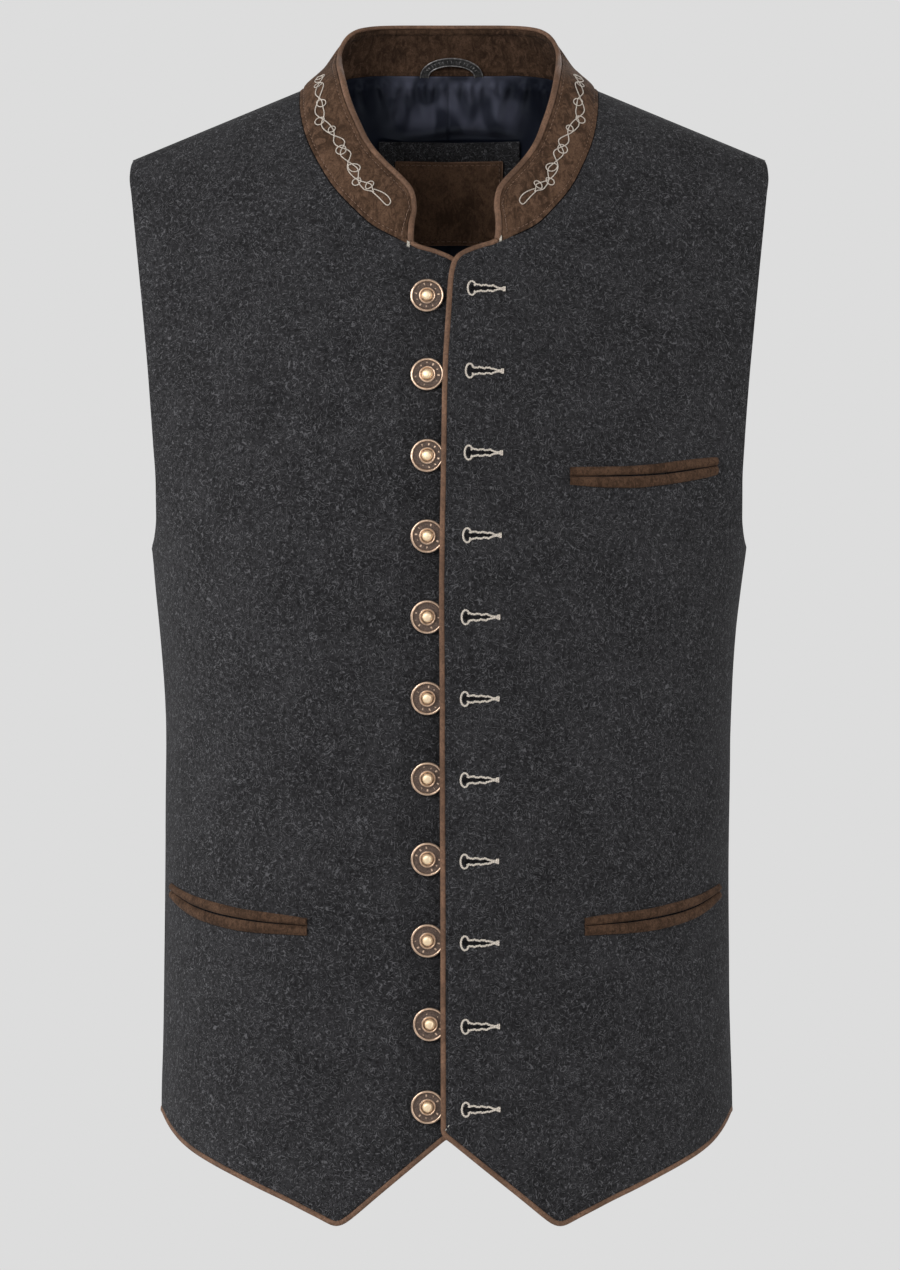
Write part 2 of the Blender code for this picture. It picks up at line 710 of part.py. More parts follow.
def on_left(x, z):
    return at("front", x - read(SECTIONS, "sway", z), z, WELT_LIFT, lapped=True)[0]


def on_left_hip(x, z):
    return on_left(x + HIP_SHIFT, z)


def on_right_hip(x, z):
    shown = at("front", x - HIP_SHIFT + read(SECTIONS, "sway", z), z, WELT_LIFT)[0]
    shown.x = 2 * read(SECTIONS, "sway", z) - shown.x
    return shown


for label, table, placer in (
    ("chest", CHEST_WELT, on_left),
    ("hip_left", HIP_WELT, on_left_hip),
    ("hip_right", HIP_WELT, on_right_hip),
):
    strip("welt_" + label + "_upper", table, "upper", "slit", placer, suede)
    strip("welt_" + label + "_lower", table, "slit", "lower", placer, suede)

profile = bpy.data.meshes.new("button")
work = bmesh.new()
knots = [work.verts.new((turn.radius, 0.0, turn.height)) for turn in BUTTON]
for first, second in zip(knots, knots[1:]):
    work.edges.new((first, second))
work.to_mesh(profile)
work.free()
profile.materials.append(brass)
for number, height in enumerate(BUTTON_HEIGHTS, 1):
    button = bpy.data.objects.new("button_%02d" % number, profile)
    vest.objects.link(button)
    x_local = -(BUTTON_X - read(SECTIONS, "sway", height))
    foot, out = at("front", x_local, height, WOOL / 2 + 0.0009)
    foot.x = 2 * read(SECTIONS, "sway", height) - foot.x
    out.x = -out.x
    button.rotation_euler = out.to_track_quat("Z", "Y").to_euler()
    button.location = foot
    turn = button.modifiers.new("turned", "SCREW")
    turn.steps = BUTTON_STEPS
    turn.render_steps = BUTTON_STEPS
    turn.use_merge_vertices = True
    turn.merge_threshold = 0.00005

lining_lift = -(WOOL / 2 + CLEAR + LINING_WALL / 2 + LINING_EASE)
lining_rows = [row[1:-1] for row in back_rows(lining_lift)[1:]]
cloth("back_lining", lining_rows, LINING_WALL, satin)


def inside_back(name, size, lift, wall, surface):
    width, top, bottom = size
    rows = []
    for j in range(7):
        z = top + (bottom - top) * j / 6
        row = []
        for k in range(9):
            x = width * (k / 8 - 0.5)
            row.append(at("back", x, z, lift)[0] + Vector((0.0, SEAM_GAP / 2, 0.0)))
        rows.append(row)
    return cloth(name, rows, wall, surface)


backing_lift = lining_lift - LINING_WALL / 2 - 0.0016 - 0.0007
inside_back("label_backing", LABEL_BACKING, backing_lift, 0.0014, wool)
patch_lift = backing_lift - 0.0007 - CLEAR - 0.0008
inside_back("label_patch", LABEL_PATCH, patch_lift, 0.0012, suede)

# The hanger loop: a flat arch, cut from its outline and laid along the collar's inner face.
outline = bpy.data.curves.new("hanger_loop", "CURVE")
outline.dimensions = "2D"
outline.fill_mode = "BOTH"
outline.extrude = HANGER_WALL / 2
arch = outline.splines.new("POLY")
points = []
for inset, order in ((0.0, range(17)), (HANGER_BAND, range(16, -1, -1))):
    for k in order:
        angle = math.pi * k / 16
        wide = HANGER_SPAN / 2 - inset
        points.append((-wide * math.cos(angle), (HANGER_RISE - inset) * math.sin(angle) ** 0.75))
arch.points.add(len(points) - 1)
for knot, (x, y) in zip(arch.points, points):
    knot.co = (x, y, 0.0, 1.0)
arch.use_cyclic_u = True
loop = place("hanger_loop", outline, gunmetal)
nape_low = collar_point(0.0, 0.0)
nape_high = collar_point(0.0, 1.0)
lean = math.atan2(nape_low.y - nape_high.y, nape_high.z - nape_low.z)
loop.rotation_euler = (math.pi / 2 + lean, 0.0, 0.0)
inner = Vector((0.0, -math.cos(lean), -math.sin(lean)))
rest = nape_low + inner * (COLLAR_WALL / 2 + HANGER_WALL / 2 + HANGER_SEAT)
loop.location = (HANGER_MIDDLE, rest.y, rest.z + 0.0005)
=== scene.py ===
"""Folk vest: the dressed model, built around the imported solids.

The wool body is one surface. At each height SECTIONS says how wide and how deep it is, an
upright oval joins front and back, and a dome carries both up to the shoulder. Panels,
piping, pocket welts, thread and buttons are all placed on that surface.
"""
import math
import random
from collections import namedtuple

import bmesh
import bpy
import numpy as np
from bpy.props import FloatProperty, FloatVectorProperty, IntProperty, PointerProperty
from mathutils import Matrix, Vector


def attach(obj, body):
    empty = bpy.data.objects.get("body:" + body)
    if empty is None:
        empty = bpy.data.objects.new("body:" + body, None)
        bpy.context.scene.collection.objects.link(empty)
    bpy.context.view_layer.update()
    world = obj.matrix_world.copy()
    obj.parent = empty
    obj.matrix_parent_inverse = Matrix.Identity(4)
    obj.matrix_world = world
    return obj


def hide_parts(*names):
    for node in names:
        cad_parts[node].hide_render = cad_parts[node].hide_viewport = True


bl_info = {
    "name": "Folk Vest",
    "version": (1, 0, 0),
    "blender": (4, 5, 0),
    "location": "View3D > Sidebar > Folk Vest",
    "description": "Builds a felted wool folk vest with suede collar, piping and metal buttons",
    "category": "Add Mesh",
}

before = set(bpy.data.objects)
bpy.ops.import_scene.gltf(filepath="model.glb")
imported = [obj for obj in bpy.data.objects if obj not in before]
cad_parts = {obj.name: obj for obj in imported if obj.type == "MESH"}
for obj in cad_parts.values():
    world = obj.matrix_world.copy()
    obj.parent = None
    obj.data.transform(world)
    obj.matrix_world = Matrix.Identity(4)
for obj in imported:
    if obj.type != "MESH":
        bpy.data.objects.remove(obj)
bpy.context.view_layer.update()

CLEAR = 0.0003
LAP_RISE = 0.0058
LAP_FLAT = 0.018
LAP_END = 0.072
UNDERLAP = 0.015
OVAL = 2.3
FRONT_DOME = 0.45
BACK_DOME = 0.12
NECK_POINT = 0.0925
SHOULDER_SLOPE = 0.414
SHOULDER_TOP = 0.0013
NAPE_START = 0.01
NAPE_END = -0.08
UNDERARM = -0.284
BACK_HEM = -0.6275
EDGE_RADIUS = 0.0016
HEM_RADIUS = 0.0019
COLLAR_RADIUS = 0.002
SUNK = 0.0002
TUBE_STEP = 0.0016
TUBE_SIDES = 14


def rows(names, *values):
    """A table whose columns have names."""
    row = namedtuple("Row", names)
    return [row(*value) for value in values]


SECTIONS = rows(
    "z front_half back_half front_depth back_depth sway",
    (-0.72, 0.1774, 0.1774, 0.1245, 0.1105, 0.0), (-0.63, 0.1774, 0.1774, 0.1245, 0.109, -0.0013),
    (-0.59, 0.1763, 0.1763, 0.1245, 0.1065, -0.0014),
    (-0.55, 0.1755, 0.1755, 0.1243, 0.1035, -0.0016),
    (-0.47, 0.1749, 0.1749, 0.1255, 0.0985, -0.0014),
    (-0.405, 0.1749, 0.1749, 0.1285, 0.1, -0.0009),
    (-0.375, 0.1759, 0.1759, 0.1305, 0.103, -0.0006),
    (-0.338, 0.1784, 0.1784, 0.1335, 0.1075, -0.0006),
    (-0.308, 0.1816, 0.1816, 0.1355, 0.1115, -0.0004), (-0.284, 0.1845, 0.1845, 0.137, 0.1145, 0.0),
    (-0.27, 0.187, 0.186, 0.1378, 0.116, 0.0), (-0.25, 0.1935, 0.1895, 0.1387, 0.118, 0.0),
    (-0.2, 0.2035, 0.196, 0.139, 0.1215, 0.0), (-0.15, 0.21, 0.202, 0.137, 0.1215, 0.0),
    (-0.1, 0.2155, 0.207, 0.13, 0.119, 0.0), (-0.05, 0.22, 0.212, 0.128, 0.116, 0.0),
    (0.05, 0.227, 0.216, 0.128, 0.115, 0.0),
)

NAPE = rows(
    "x height drop",
    (-0.03, 0.0395, 0.021), (0.0, 0.0405, 0.022), (0.03, 0.0395, 0.021), (0.045, 0.036, 0.018),
    (0.06, 0.03, 0.014), (0.07, 0.0235, 0.011), (0.08, 0.0135, 0.007), (0.088, 0.005, 0.003),
    (0.0925, 0.0013, 0.0),
)

NECK = rows(
    "along x z shift",
    (0.0, 0.0285, -0.0998, 0.0034), (0.14, 0.048, -0.09, 0.0032), (0.27, 0.0607, -0.0782, 0.0027),
    (0.41, 0.0727, -0.0641, 0.002), (0.55, 0.0817, -0.0482, 0.0012), (0.7, 0.0885, -0.0318, 0.0005),
    (0.85, 0.0918, -0.0153, 0.0), (1.0, 0.0925, 0.0013, 0.0),
)

ARMHOLE = rows(
    "z front_x back_x",
    (-0.284, 0.1845, 0.1845), (-0.281, 0.1828, 0.183), (-0.275, 0.1812, 0.1808),
    (-0.265, 0.18, 0.1788), (-0.245, 0.1798, 0.1775), (-0.22, 0.1812, 0.1775),
    (-0.18, 0.1842, 0.1802), (-0.15, 0.1872, 0.1835), (-0.12, 0.1905, 0.187),
    (-0.09, 0.194, 0.1912), (-0.065, 0.197, 0.1955), (-0.053, 0.1986, 0.198),
    (-0.046, 0.1982, 0.198), (-0.0428, 0.1972, 0.1972),
)

LEFT_NECK_EDGE = [(0.03, -0.0999), (0.0222, -0.102), (0.014, -0.1048), (0.0084, -0.1073)]
LEFT_FRONT_EDGE = [
    (0.0048, -0.1097), (0.0024, -0.1133), (0.0009, -0.1188), (0.0, -0.1252), (-0.001, -0.1414),
    (-0.0016, -0.156), (-0.0023, -0.174), (-0.0028, -0.2), (-0.0035, -0.243), (-0.0043, -0.2865),
    (-0.0045, -0.344), (-0.0044, -0.4), (-0.0043, -0.445), (-0.0041, -0.488), (-0.004, -0.531),
    (-0.0039, -0.589), (-0.0038, -0.63),
]
RIGHT_NECK_EDGE = [(-0.0236, -0.1003), (-0.016, -0.1021), (-0.0085, -0.1043), (-0.0006, -0.1075)]

HEM = [
    (-0.0038, -0.6362), (0.0, -0.6392), (0.008, -0.6457), (0.025, -0.6599), (0.042, -0.6741),
    (0.056, -0.686), (0.0615, -0.6903), (0.065, -0.6922), (0.068, -0.6927), (0.0715, -0.6916),
    (0.077, -0.6888), (0.086, -0.6845), (0.0995, -0.6781), (0.114, -0.6719), (0.1285, -0.6654),
    (0.142, -0.6594), (0.154, -0.6536), (0.163, -0.648), (0.1695, -0.6422), (0.174, -0.6369),
    (0.1772, -0.6325),
]

RIM = rows(
    "share x y z shift",
    (0.0, 0.0, 0.053, 0.0492, 0.0), (0.102, 0.028, 0.0513, 0.049, 0.0),
    (0.156, 0.042, 0.0465, 0.0482, 0.0), (0.213, 0.055, 0.0375, 0.0457, 0.0),
    (0.255, 0.0622, 0.03, 0.0414, 0.0), (0.307, 0.0668, 0.0215, 0.0338, 0.0),
    (0.361, 0.0685, 0.012, 0.0262, 0.0), (0.444, 0.0683, -0.006, 0.0188, 0.0),
    (0.53, 0.0664, -0.0315, 0.0076, 0.0003), (0.574, 0.0637, -0.0415, -0.0046, 0.0006),
    (0.613, 0.0607, -0.047, -0.0143, 0.0009), (0.651, 0.0571, -0.052, -0.0235, 0.0013),
    (0.69, 0.0536, -0.057, -0.0322, 0.0017), (0.729, 0.0497, -0.061, -0.0392, 0.0021),
    (0.768, 0.0454, -0.065, -0.0449, 0.0025), (0.806, 0.0408, -0.069, -0.0503, 0.0028),
    (0.846, 0.0358, -0.0725, -0.0555, 0.0031), (0.886, 0.0312, -0.076, -0.0606, 0.0034),
    (0.925, 0.0276, -0.0785, -0.0658, 0.0036), (0.963, 0.0264, -0.0805, -0.0715, 0.0037),
    (1.0, 0.0262, -0.0836, -0.077, 0.0037),
)

CHEST_WELT = rows(
    "x upper slit lower",
    (0.0722, -0.237, -0.2422, -0.2471), (0.083, -0.2367, -0.2421, -0.248),
    (0.0934, -0.2365, -0.2419, -0.2486), (0.1086, -0.2359, -0.2414, -0.2487),
    (0.1245, -0.2343, -0.2403, -0.2472), (0.1399, -0.2319, -0.2382, -0.2447),
    (0.1561, -0.2298, -0.2353, -0.2413), (0.1641, -0.2291, -0.2338, -0.2388),
)
HIP_WELT = rows(
    "x upper slit lower",
    (0.0839, -0.5083, -0.5127, -0.5184), (0.0942, -0.5068, -0.512, -0.5181),
    (0.1083, -0.5052, -0.5111, -0.5177), (0.1224, -0.5036, -0.5096, -0.5168),
    (0.1369, -0.5008, -0.5073, -0.5144), (0.1515, -0.4974, -0.5034, -0.5103),
    (0.161, -0.494, -0.499, -0.5052), (0.1676, -0.4908, -0.495, -0.4998),
)
HIP_SHIFT = -0.0027

BUTTON_X = -0.0132
BUTTON_HEIGHTS = [
    -0.1332, -0.1812, -0.2302, -0.2784, -0.3267, -0.3753, -0.4236, -0.472, -0.521, -0.57,
    -0.62,
]
BUTTONHOLES = [
    (0.022, -0.1306), (0.0209, -0.1801), (0.0203, -0.2291), (0.0195, -0.2781), (0.0187, -0.3268),
    (0.0183, -0.3754), (0.0183, -0.424), (0.0182, -0.4731), (0.0184, -0.5222), (0.0188, -0.5724),
    (0.019, -0.622),
]

SEAM_AT = [0.0, 0.035, 0.085, 0.155, 0.24, 0.34, 0.45, 0.56, 0.67, 0.78, 0.89, 1.0]
EDGE_AT = [
    0.01, 0.028, 0.043, 0.057, 0.072, 0.095, 0.125, 0.16, 0.2, 0.25, 0.315,
    0.4, 0.51, 0.63, 0.74, 0.84,
]
OUTER_AT = [
    0.0, 0.006, 0.015, 0.028, 0.046, 0.069, 0.095, 0.122, 0.15, 0.178, 0.205, 0.231,
    0.254, 0.275, 0.294, 0.311, 0.329, 0.349, 0.37, 0.389, 0.41, 0.447, 0.497, 0.568, 0.657,
    0.75, 0.83, 0.9,
]
BACK_MIDDLE_AT = [
    0.0, 0.008, 0.02, 0.038, 0.062, 0.095, 0.138, 0.19, 0.245, 0.302, 0.356, 0.408, 0.48,
    0.58, 0.7, 0.85, 1.0,
]
BACK_SIDE_AT = [
    0.0, 0.008, 0.022, 0.044, 0.073, 0.11, 0.155, 0.204, 0.254, 0.304, 0.352, 0.398, 0.468,
    0.57, 0.695, 0.85, 1.0,
]
BACK_STATIONS = [
    0.0, 0.024, 0.043, 0.057, 0.068, 0.076, 0.083, 0.0888, 0.0925, 0.113, 0.14, 0.168,
    0.188,
]
HEM_SHARES = [0.45, 0.85, 1.0]
HEM_STATIONS = [
    0.03, 0.0455, 0.056, 0.0625, 0.0665, 0.071, 0.078, 0.089, 0.104, 0.12, 0.136,
    0.15, 0.161, 0.169, 0.1735,
]

PANEL_GAP = 0.0002
FRONT_UP = 4
NECK_ROW = (len(SEAM_AT) - 1) * FRONT_UP
EDGE_ROW = len(SEAM_AT) * FRONT_UP

FOOT_DRAWN_IN = {1: 0.0032, -1: 0.0018}
COLLAR_COLUMNS = 289
END_COLUMNS = 8
COLLAR_HALF = 0.235
ARMHOLE_INSET = 0.0034
EDGE_INSET = 0.002
TOP_ROW = 0.0042
FOOT_ROW = 0.0036
VINE_START = 0.483
VINE_END = 0.915
VINE_DRAWN = 0.094
LOOP_SCALE = 1.26
# where along the vine, side, size, width and tilt of each loop
VINE_LOOPS = (
    (0.0015, 1, 0.0048, 0.0021, 0.5), (0.011, -1, 0.0042, 0.0017, -0.4),
    (0.0215, 1, 0.0052, 0.0023, 0.9), (0.033, -1, 0.005, 0.0022, 0.3),
    (0.042, 1, 0.004, 0.0016, -0.6), (0.052, -1, 0.0056, 0.0024, 0.8),
    (0.064, 1, 0.0058, 0.0025, 1.0), (0.0735, -1, 0.0046, 0.0018, 0.2),
    (0.08, 1, 0.0048, 0.0017, -0.3),
)

WELT_LIFT = 0.0024
WELT_WALL = 0.0014
SLIT_LIFT = 0.0013
WELT_STATIONS = 61
SLIT_HALF = 0.00058
WELT_TRIM = {"chest": (0.0, -0.0014), "hip_right": (-0.0018, 0.0)}

BUTTON_SCALE = 1.03
BUTTON_LIFT = 0.0019
DOME_EDGE = 0.0029
HOLLOW_EDGE = 0.0039
RING_EDGES = (0.0048, 0.0085)
BUTTON_FINISHES = ("aged_copper", "dark_ring", "polished_dome", "deep_copper")
BUTTON = [
    (0.0, 0.00365), (0.001, 0.00361), (0.0018, 0.00348), (0.0024, 0.00318), (0.0028, 0.00262),
    (0.003, 0.0019), (0.0031, 0.0013), (0.0035, 0.00124), (0.0038, 0.00155), (0.0041, 0.002),
    (0.0044, 0.00218), (0.0047, 0.002), (0.0049, 0.00145), (0.0066, 0.0014), (0.0083, 0.0015),
    (0.0085, 0.00185), (0.0087, 0.00215), (0.0091, 0.00225), (0.0095, 0.0021), (0.0098, 0.00175),
    (0.0098, 0.0012), (0.0095, 0.0008), (0.009, 0.00055), (0.0031, 0.00045), (0.003, 0.0),
    (0.0, 0.0),
]
NUDGED = {1: (0.0, 0.0007, 1.5), 10: (0.0013, 0.0013, 0.0), 11: (0.0, 0.0009, 0.0)}

HANGER_WIDTH = 0.0405
HANGER_HEIGHT = 0.0134
HANGER_OFF = 0.0032

LINING_TOP = 0.0019
LINING_CREASES = rows(
    "x width height length lean",
    (-0.058, 0.0022, 1.2, 0.016, 0.2), (-0.045, 0.002, 1.7, 0.02, 0.35),
    (-0.0335, 0.0024, 1.4, 0.024, -0.3), (-0.0255, 0.0015, 0.9, 0.012, 0.1),
    (-0.0178, 0.0015, 1.7, 0.018, 0.15), (-0.0115, 0.0013, 1.3, 0.013, -0.1),
    (-0.004, 0.0014, 1.0, 0.016, 0.05), (0.006, 0.0013, 0.9, 0.012, -0.08),
    (0.0125, 0.0018, 1.8, 0.02, 0.12), (0.02, 0.0014, 1.2, 0.014, -0.1),
    (0.029, 0.0018, 1.5, 0.018, 0.2), (0.0375, 0.0026, 1.5, 0.026, -0.3),
    (0.05, 0.002, 1.3, 0.02, -0.2), (0.06, 0.0022, 1.0, 0.016, 0.1),
)

CURVES = {}
MADE = {}


def read(table, column, at):
    """A column of a table at any values of its first column, through a smooth curve."""
    made = CURVES.get((id(table), column))
    if made is None:
        xs = np.array([row[0] for row in table])
        ys = np.array([getattr(row, column) for row in table])
        slope = np.diff(ys) / np.diff(xs)
        product, total = slope[:-1] * slope[1:], slope[:-1] + slope[1:]
        inner = np.where(product > 0, 2 * product / np.where(total == 0, 1, total), 0.0)
        made = (xs, ys, np.concatenate(([slope[0]], inner, [slope[-1]])))
        CURVES[(id(table), column)] = made
    xs, ys, slope = made
    at = np.clip(np.asarray(at, dtype=float), xs[0], xs[-1])
    i = np.clip(np.searchsorted(xs, at, side="right") - 1, 0, len(xs) - 2)
    step = xs[i + 1] - xs[i]
    t = (at - xs[i]) / step
    low = (1 + 2 * t) * (1 - t) ** 2 * ys[i] + t * (1 - t) ** 2 * step * slope[i]
    return low + t * t * (3 - 2 * t) * ys[i + 1] + t * t * (t - 1) * step * slope[i + 1]


def unit(vectors):
    return vectors / np.linalg.norm(vectors, axis=-1, keepdims=True)


def blend(low, high, at):
    """0 at low and 1 at high, eased between."""
    t = np.clip((np.asarray(at, dtype=float) - low) / (high - low), 0.0, 1.0)
    return t * t * (3 - 2 * t)


def crest(face, x, z=0.05):
    """Height of the line where front and back meet; the back carries on up over the nape."""
    x = np.abs(x)
    straight = SHOULDER_TOP - SHOULDER_SLOPE * (x - NECK_POINT)
    if face == "front":
        return straight
    rise = np.where(x < NECK_POINT, read(NAPE, "height", x) - straight, 0.0)
    return straight + rise * blend(NAPE_END, NAPE_START, z)


def half(face, z):
    return read(SECTIONS, face + "_half", z)


def sway_at(z):
    """How far the whole body leans to one side."""
    return read(SECTIONS, "sway", z)


def reach(face):
    return FRONT_DOME if face == "front" else BACK_DOME


def depth(face, x, z):
    """Signed Y of the wool's middle surface."""
    rest = np.maximum(0.0, 1 - np.maximum(crest(face, x, z) - z, 0.0) / reach(face))
    out = read(SECTIONS, face + "_depth", z) * np.sqrt(1 - rest * rest)
    share = np.minimum(1.0, np.abs(x / half(face, z)))
    out = out * (1 - share ** OVAL) ** (1 / OVAL)
    return -out if face == "front" else out


def turned(face, x, z):
    """The drop below the crest as an angle round the dome, which goes on evenly below it."""
    rest = np.maximum(crest(face, x, z) - z, 0.0) / reach(face)
    return np.where(rest < 1, np.arccos(np.clip(1 - rest, -1, 1)), math.pi / 2 + rest - 1)


def swing(face, x, z):
    """The distance from the middle as an angle round the oval."""
    return np.arcsin(np.clip(x / half(face, z), -1.0, 1.0))


def spot(face, across, down):
    """The x and z where the two angles meet."""
    down = np.asarray(down, dtype=float)
    fall = np.where(down < math.pi / 2, 1 - np.cos(down), 1 + down - math.pi / 2)
    x, z = np.full(np.broadcast(across, down).shape, 0.1), 0.0
    for _ in range(20):
        x = half(face, z) * np.sin(across)
        z = crest(face, x, z) - reach(face) * fall
    return x, z


def lap(x):
    """How far the wearer's left front stands off the right one that it lies on."""
    return LAP_RISE * (1 - blend(LAP_FLAT, LAP_END, x))


def on_wool(face, x, z, lift=0.0, lapped=False, mirror=False):
    """Points of the wool at x and z, moved outwards by lift, and the outward directions."""
    x, z = np.asarray(x, dtype=float), np.asarray(z, dtype=float)
    step = 0.0008
    slope_x = (depth(face, x + step, z) - depth(face, x - step, z)) / (2 * step)
    slope_z = (depth(face, x, z + step) - depth(face, x, z - step)) / (2 * step)
    out = unit(np.stack([-slope_x, np.ones_like(slope_x), -slope_z], axis=-1))
    if face == "front":
        out = -out
    lift = np.broadcast_to(np.asarray(lift, dtype=float), x.shape)
    if lapped:
        lift = lift + lap(x)
    point = np.stack([x, depth(face, x, z), z], axis=-1) + out * lift[..., None]
    sway = sway_at(z)
    if mirror:
        point[..., 0] = sway - point[..., 0]
        out = out * np.array([-1.0, 1.0, 1.0])
    else:
        point[..., 0] += sway
    return point, out


def smooth(points, parts):
    """Points of a rounded line through the given ones, with so many parts between two."""
    knots = np.array(points, dtype=float)
    knots = np.vstack([2 * knots[0] - knots[1], knots, 2 * knots[-1] - knots[-2]])
    line = []
    for a, b, c, d in zip(knots, knots[1:], knots[2:], knots[3:]):
        for k in range(parts):
            t = k / parts
            part = 2 * b + (c - a) * t + (2 * a - 5 * b + 4 * c - d) * t * t
            line.append((part + (3 * b - a - 3 * c + d) * t ** 3) / 2)
    return np.array(line + [knots[-2]])


def beside(line, by):
    """The same flat line moved sideways, to the right of its direction."""
    along = unit(np.gradient(line, axis=0))
    return line + np.stack([along[:, 1], -along[:, 0]], axis=1) * by


def along_line(line):
    """The lengths along a line up to each of its points."""
    steps = np.linalg.norm(np.diff(line[:, :3], axis=0), axis=1)
    return np.concatenate(([0.0], np.cumsum(steps)))


def at_lengths(line, lengths, want):
    """What a line's columns hold at the wanted lengths along it."""
    return np.stack([np.interp(want, lengths, column) for column in line.T], axis=-1)


def spaced(line, stations):
    """Points at the given shares of a line's length."""
    lengths = along_line(line)
    return at_lengths(line, lengths, np.asarray(stations) * lengths[-1])


def finer(values, parts):
    """A list of stations with each gap cut into equal parts."""
    steps = np.arange(len(values) * parts - parts + 1) / parts
    return np.interp(steps, np.arange(len(values)), values)


def local(points):
    """Flat points without the body's sway."""
    points = np.array(points, dtype=float)
    points[:, 0] -= sway_at(points[:, 1])
    return points


def neck_seam(sign):
    """The front part of the neck seam as flat points, from the shoulder down, for one side."""
    return smooth([(row.x + sign * row.shift, row.z) for row in reversed(NECK)], 24)


HEM_CUT = beside(smooth(HEM, 12), -(HEM_RADIUS + CLEAR))


def height_on(line, x):
    order = np.argsort(line[:, 0])
    return np.interp(x, line[order, 0], line[order, 1])


def armhole_line(face):
    """Armhole and side seam as one flat line from the shoulder tip to the hem."""
    z = np.linspace(ARMHOLE[-1].z, UNDERARM, 240, endpoint=False)
    arm = np.stack([read(ARMHOLE, face + "_x", z), z], axis=1)
    arm[0, 1] = crest(face, arm[0, 0])
    end = HEM_CUT[-1, 1] if face == "front" else BACK_HEM - 0.005
    z = np.linspace(UNDERARM, end, 121)
    return np.vstack([arm, np.stack([half(face, z), z], axis=1)])


def front_grid(side, up, along):
    """Flat x and z of a front panel's grid, the shoulder first and the front edge first."""
    seam = neck_seam(1 if side == "left" else -1)
    if side == "left":
        cut = beside(smooth(local(LEFT_NECK_EDGE + LEFT_FRONT_EDGE), 16), -(EDGE_RADIUS + CLEAR))
        foot = np.array([cut[-1, 0], height_on(HEM_CUT, cut[-1, 0])])
        cut = np.vstack([cut[cut[:, 1] > foot[1] + 0.002], foot])
    else:
        neck = smooth([(-p[0], p[1]) for p in RIGHT_NECK_EDGE], 16)
        foot = np.array([-UNDERLAP, -0.64])
        cut = np.vstack([beside(neck, -(EDGE_RADIUS + CLEAR)), (-UNDERLAP, -0.1195), foot])
    seam_points, edge_points = spaced(seam, finer(SEAM_AT, up)), spaced(cut, finer(EDGE_AT, up))
    joint = np.linspace(seam_points[-1], edge_points[0], up + 1)[1:-1]
    inner = np.vstack([seam_points, joint, edge_points])
    outer = spaced(armhole_line("front"), finer(OUTER_AT, up))
    stations = [foot[0]] + [x for x in (0.004, 0.016) if x > foot[0] + 0.003]
    stations = finer(stations + HEM_STATIONS + [half("front", HEM_CUT[-1, 1])], along)
    hem_z = np.where(stations > HEM_CUT[0, 0], height_on(HEM_CUT, stations), foot[1])
    angles = swing("front", stations, hem_z)
    shares = (angles - angles[0]) / (angles[-1] - angles[0])
    across = np.stack([swing("front", p[:, 0], p[:, 1]) for p in (inner, outer)])
    across[1][outer[:, 1] <= UNDERARM] = math.pi / 2
    down = np.stack([turned("front", p[:, 0], p[:, 1]) for p in (inner, outer)])
    mixed = [v[0][:, None] + (v[1] - v[0])[:, None] * shares[None, :] for v in (across, down)]
    x, z = spot("front", *mixed)
    low_across = swing("front", x[-1], z[-1])
    steps = finer([0.0] + HEM_SHARES, up)[1:, None]
    hem_rows_z = z[-1] + (hem_z - z[-1]) * steps
    hem_rows_a = low_across + (angles - low_across) * steps
    x = np.vstack([x, half("front", hem_rows_z) * np.sin(hem_rows_a)])
    return x, np.vstack([z, hem_rows_z])


def back_grid(up, along):
    """Flat x and z of the back's grid, from the neck and shoulders down."""
    outer = spaced(armhole_line("back"), finer(BACK_SIDE_AT, up))
    middle = finer(BACK_MIDDLE_AT, up)
    high = crest("back", 0.0) - read(NAPE, "drop", 0.0)
    tip = swing("back", outer[0, 0], outer[0, 1])
    stations = np.array(BACK_STATIONS)
    one_side = np.append(swing("back", stations, crest("back", stations)) / tip, 1.0)
    one_side = finer(one_side, along)
    share = np.concatenate([-one_side[:0:-1], one_side])[None, :]
    z_mid = (high + (BACK_HEM - high) * middle)[:, None]
    down_mid = turned("back", 0.0, z_mid)
    down_side = turned("back", outer[:, 0], outer[:, 1])[:, None]
    across = swing("back", outer[:, 0], outer[:, 1])[:, None]
    across[outer[:, 1] <= UNDERARM] = math.pi / 2
    x_top = spot("back", tip * share, 0.0 * share)[0]
    drop = np.where(np.abs(x_top) < NECK_POINT, read(NAPE, "drop", np.abs(x_top)), 0.0)
    top = turned("back", x_top, crest("back", x_top) - drop)
    straight = turned("back", 0.0, high) * (1 - share ** 2)
    fade = (1 - blend(0.0, 0.113, middle))[:, None]
    down = down_mid + (down_side - down_mid) * share ** 2 + (top - straight) * fade
    z = spot("back", across * share, down)[1]
    level = z_mid + (outer[:, 1][:, None] - z_mid) * share ** 2
    z = z + (level - z) * blend(0.02, 0.3, middle)[:, None]
    return half("back", z) * np.sin(across * share), z


def seam_line(sign):
    """The whole neck seam of one side in space, from the nape to the collar's end."""
    x = np.linspace(0.0, NECK_POINT, 97)
    z = crest("back", x) - read(NAPE, "drop", x)
    back = np.stack([x, depth("back", x, z), z], axis=1)
    flat = neck_seam(sign)[1:]
    front = np.stack([flat[:, 0], depth("front", flat[:, 0], flat[:, 1]), flat[:, 1]], axis=1)
    return np.vstack([back, front])


SEAM_LINES = {1: seam_line(1), -1: seam_line(-1)}


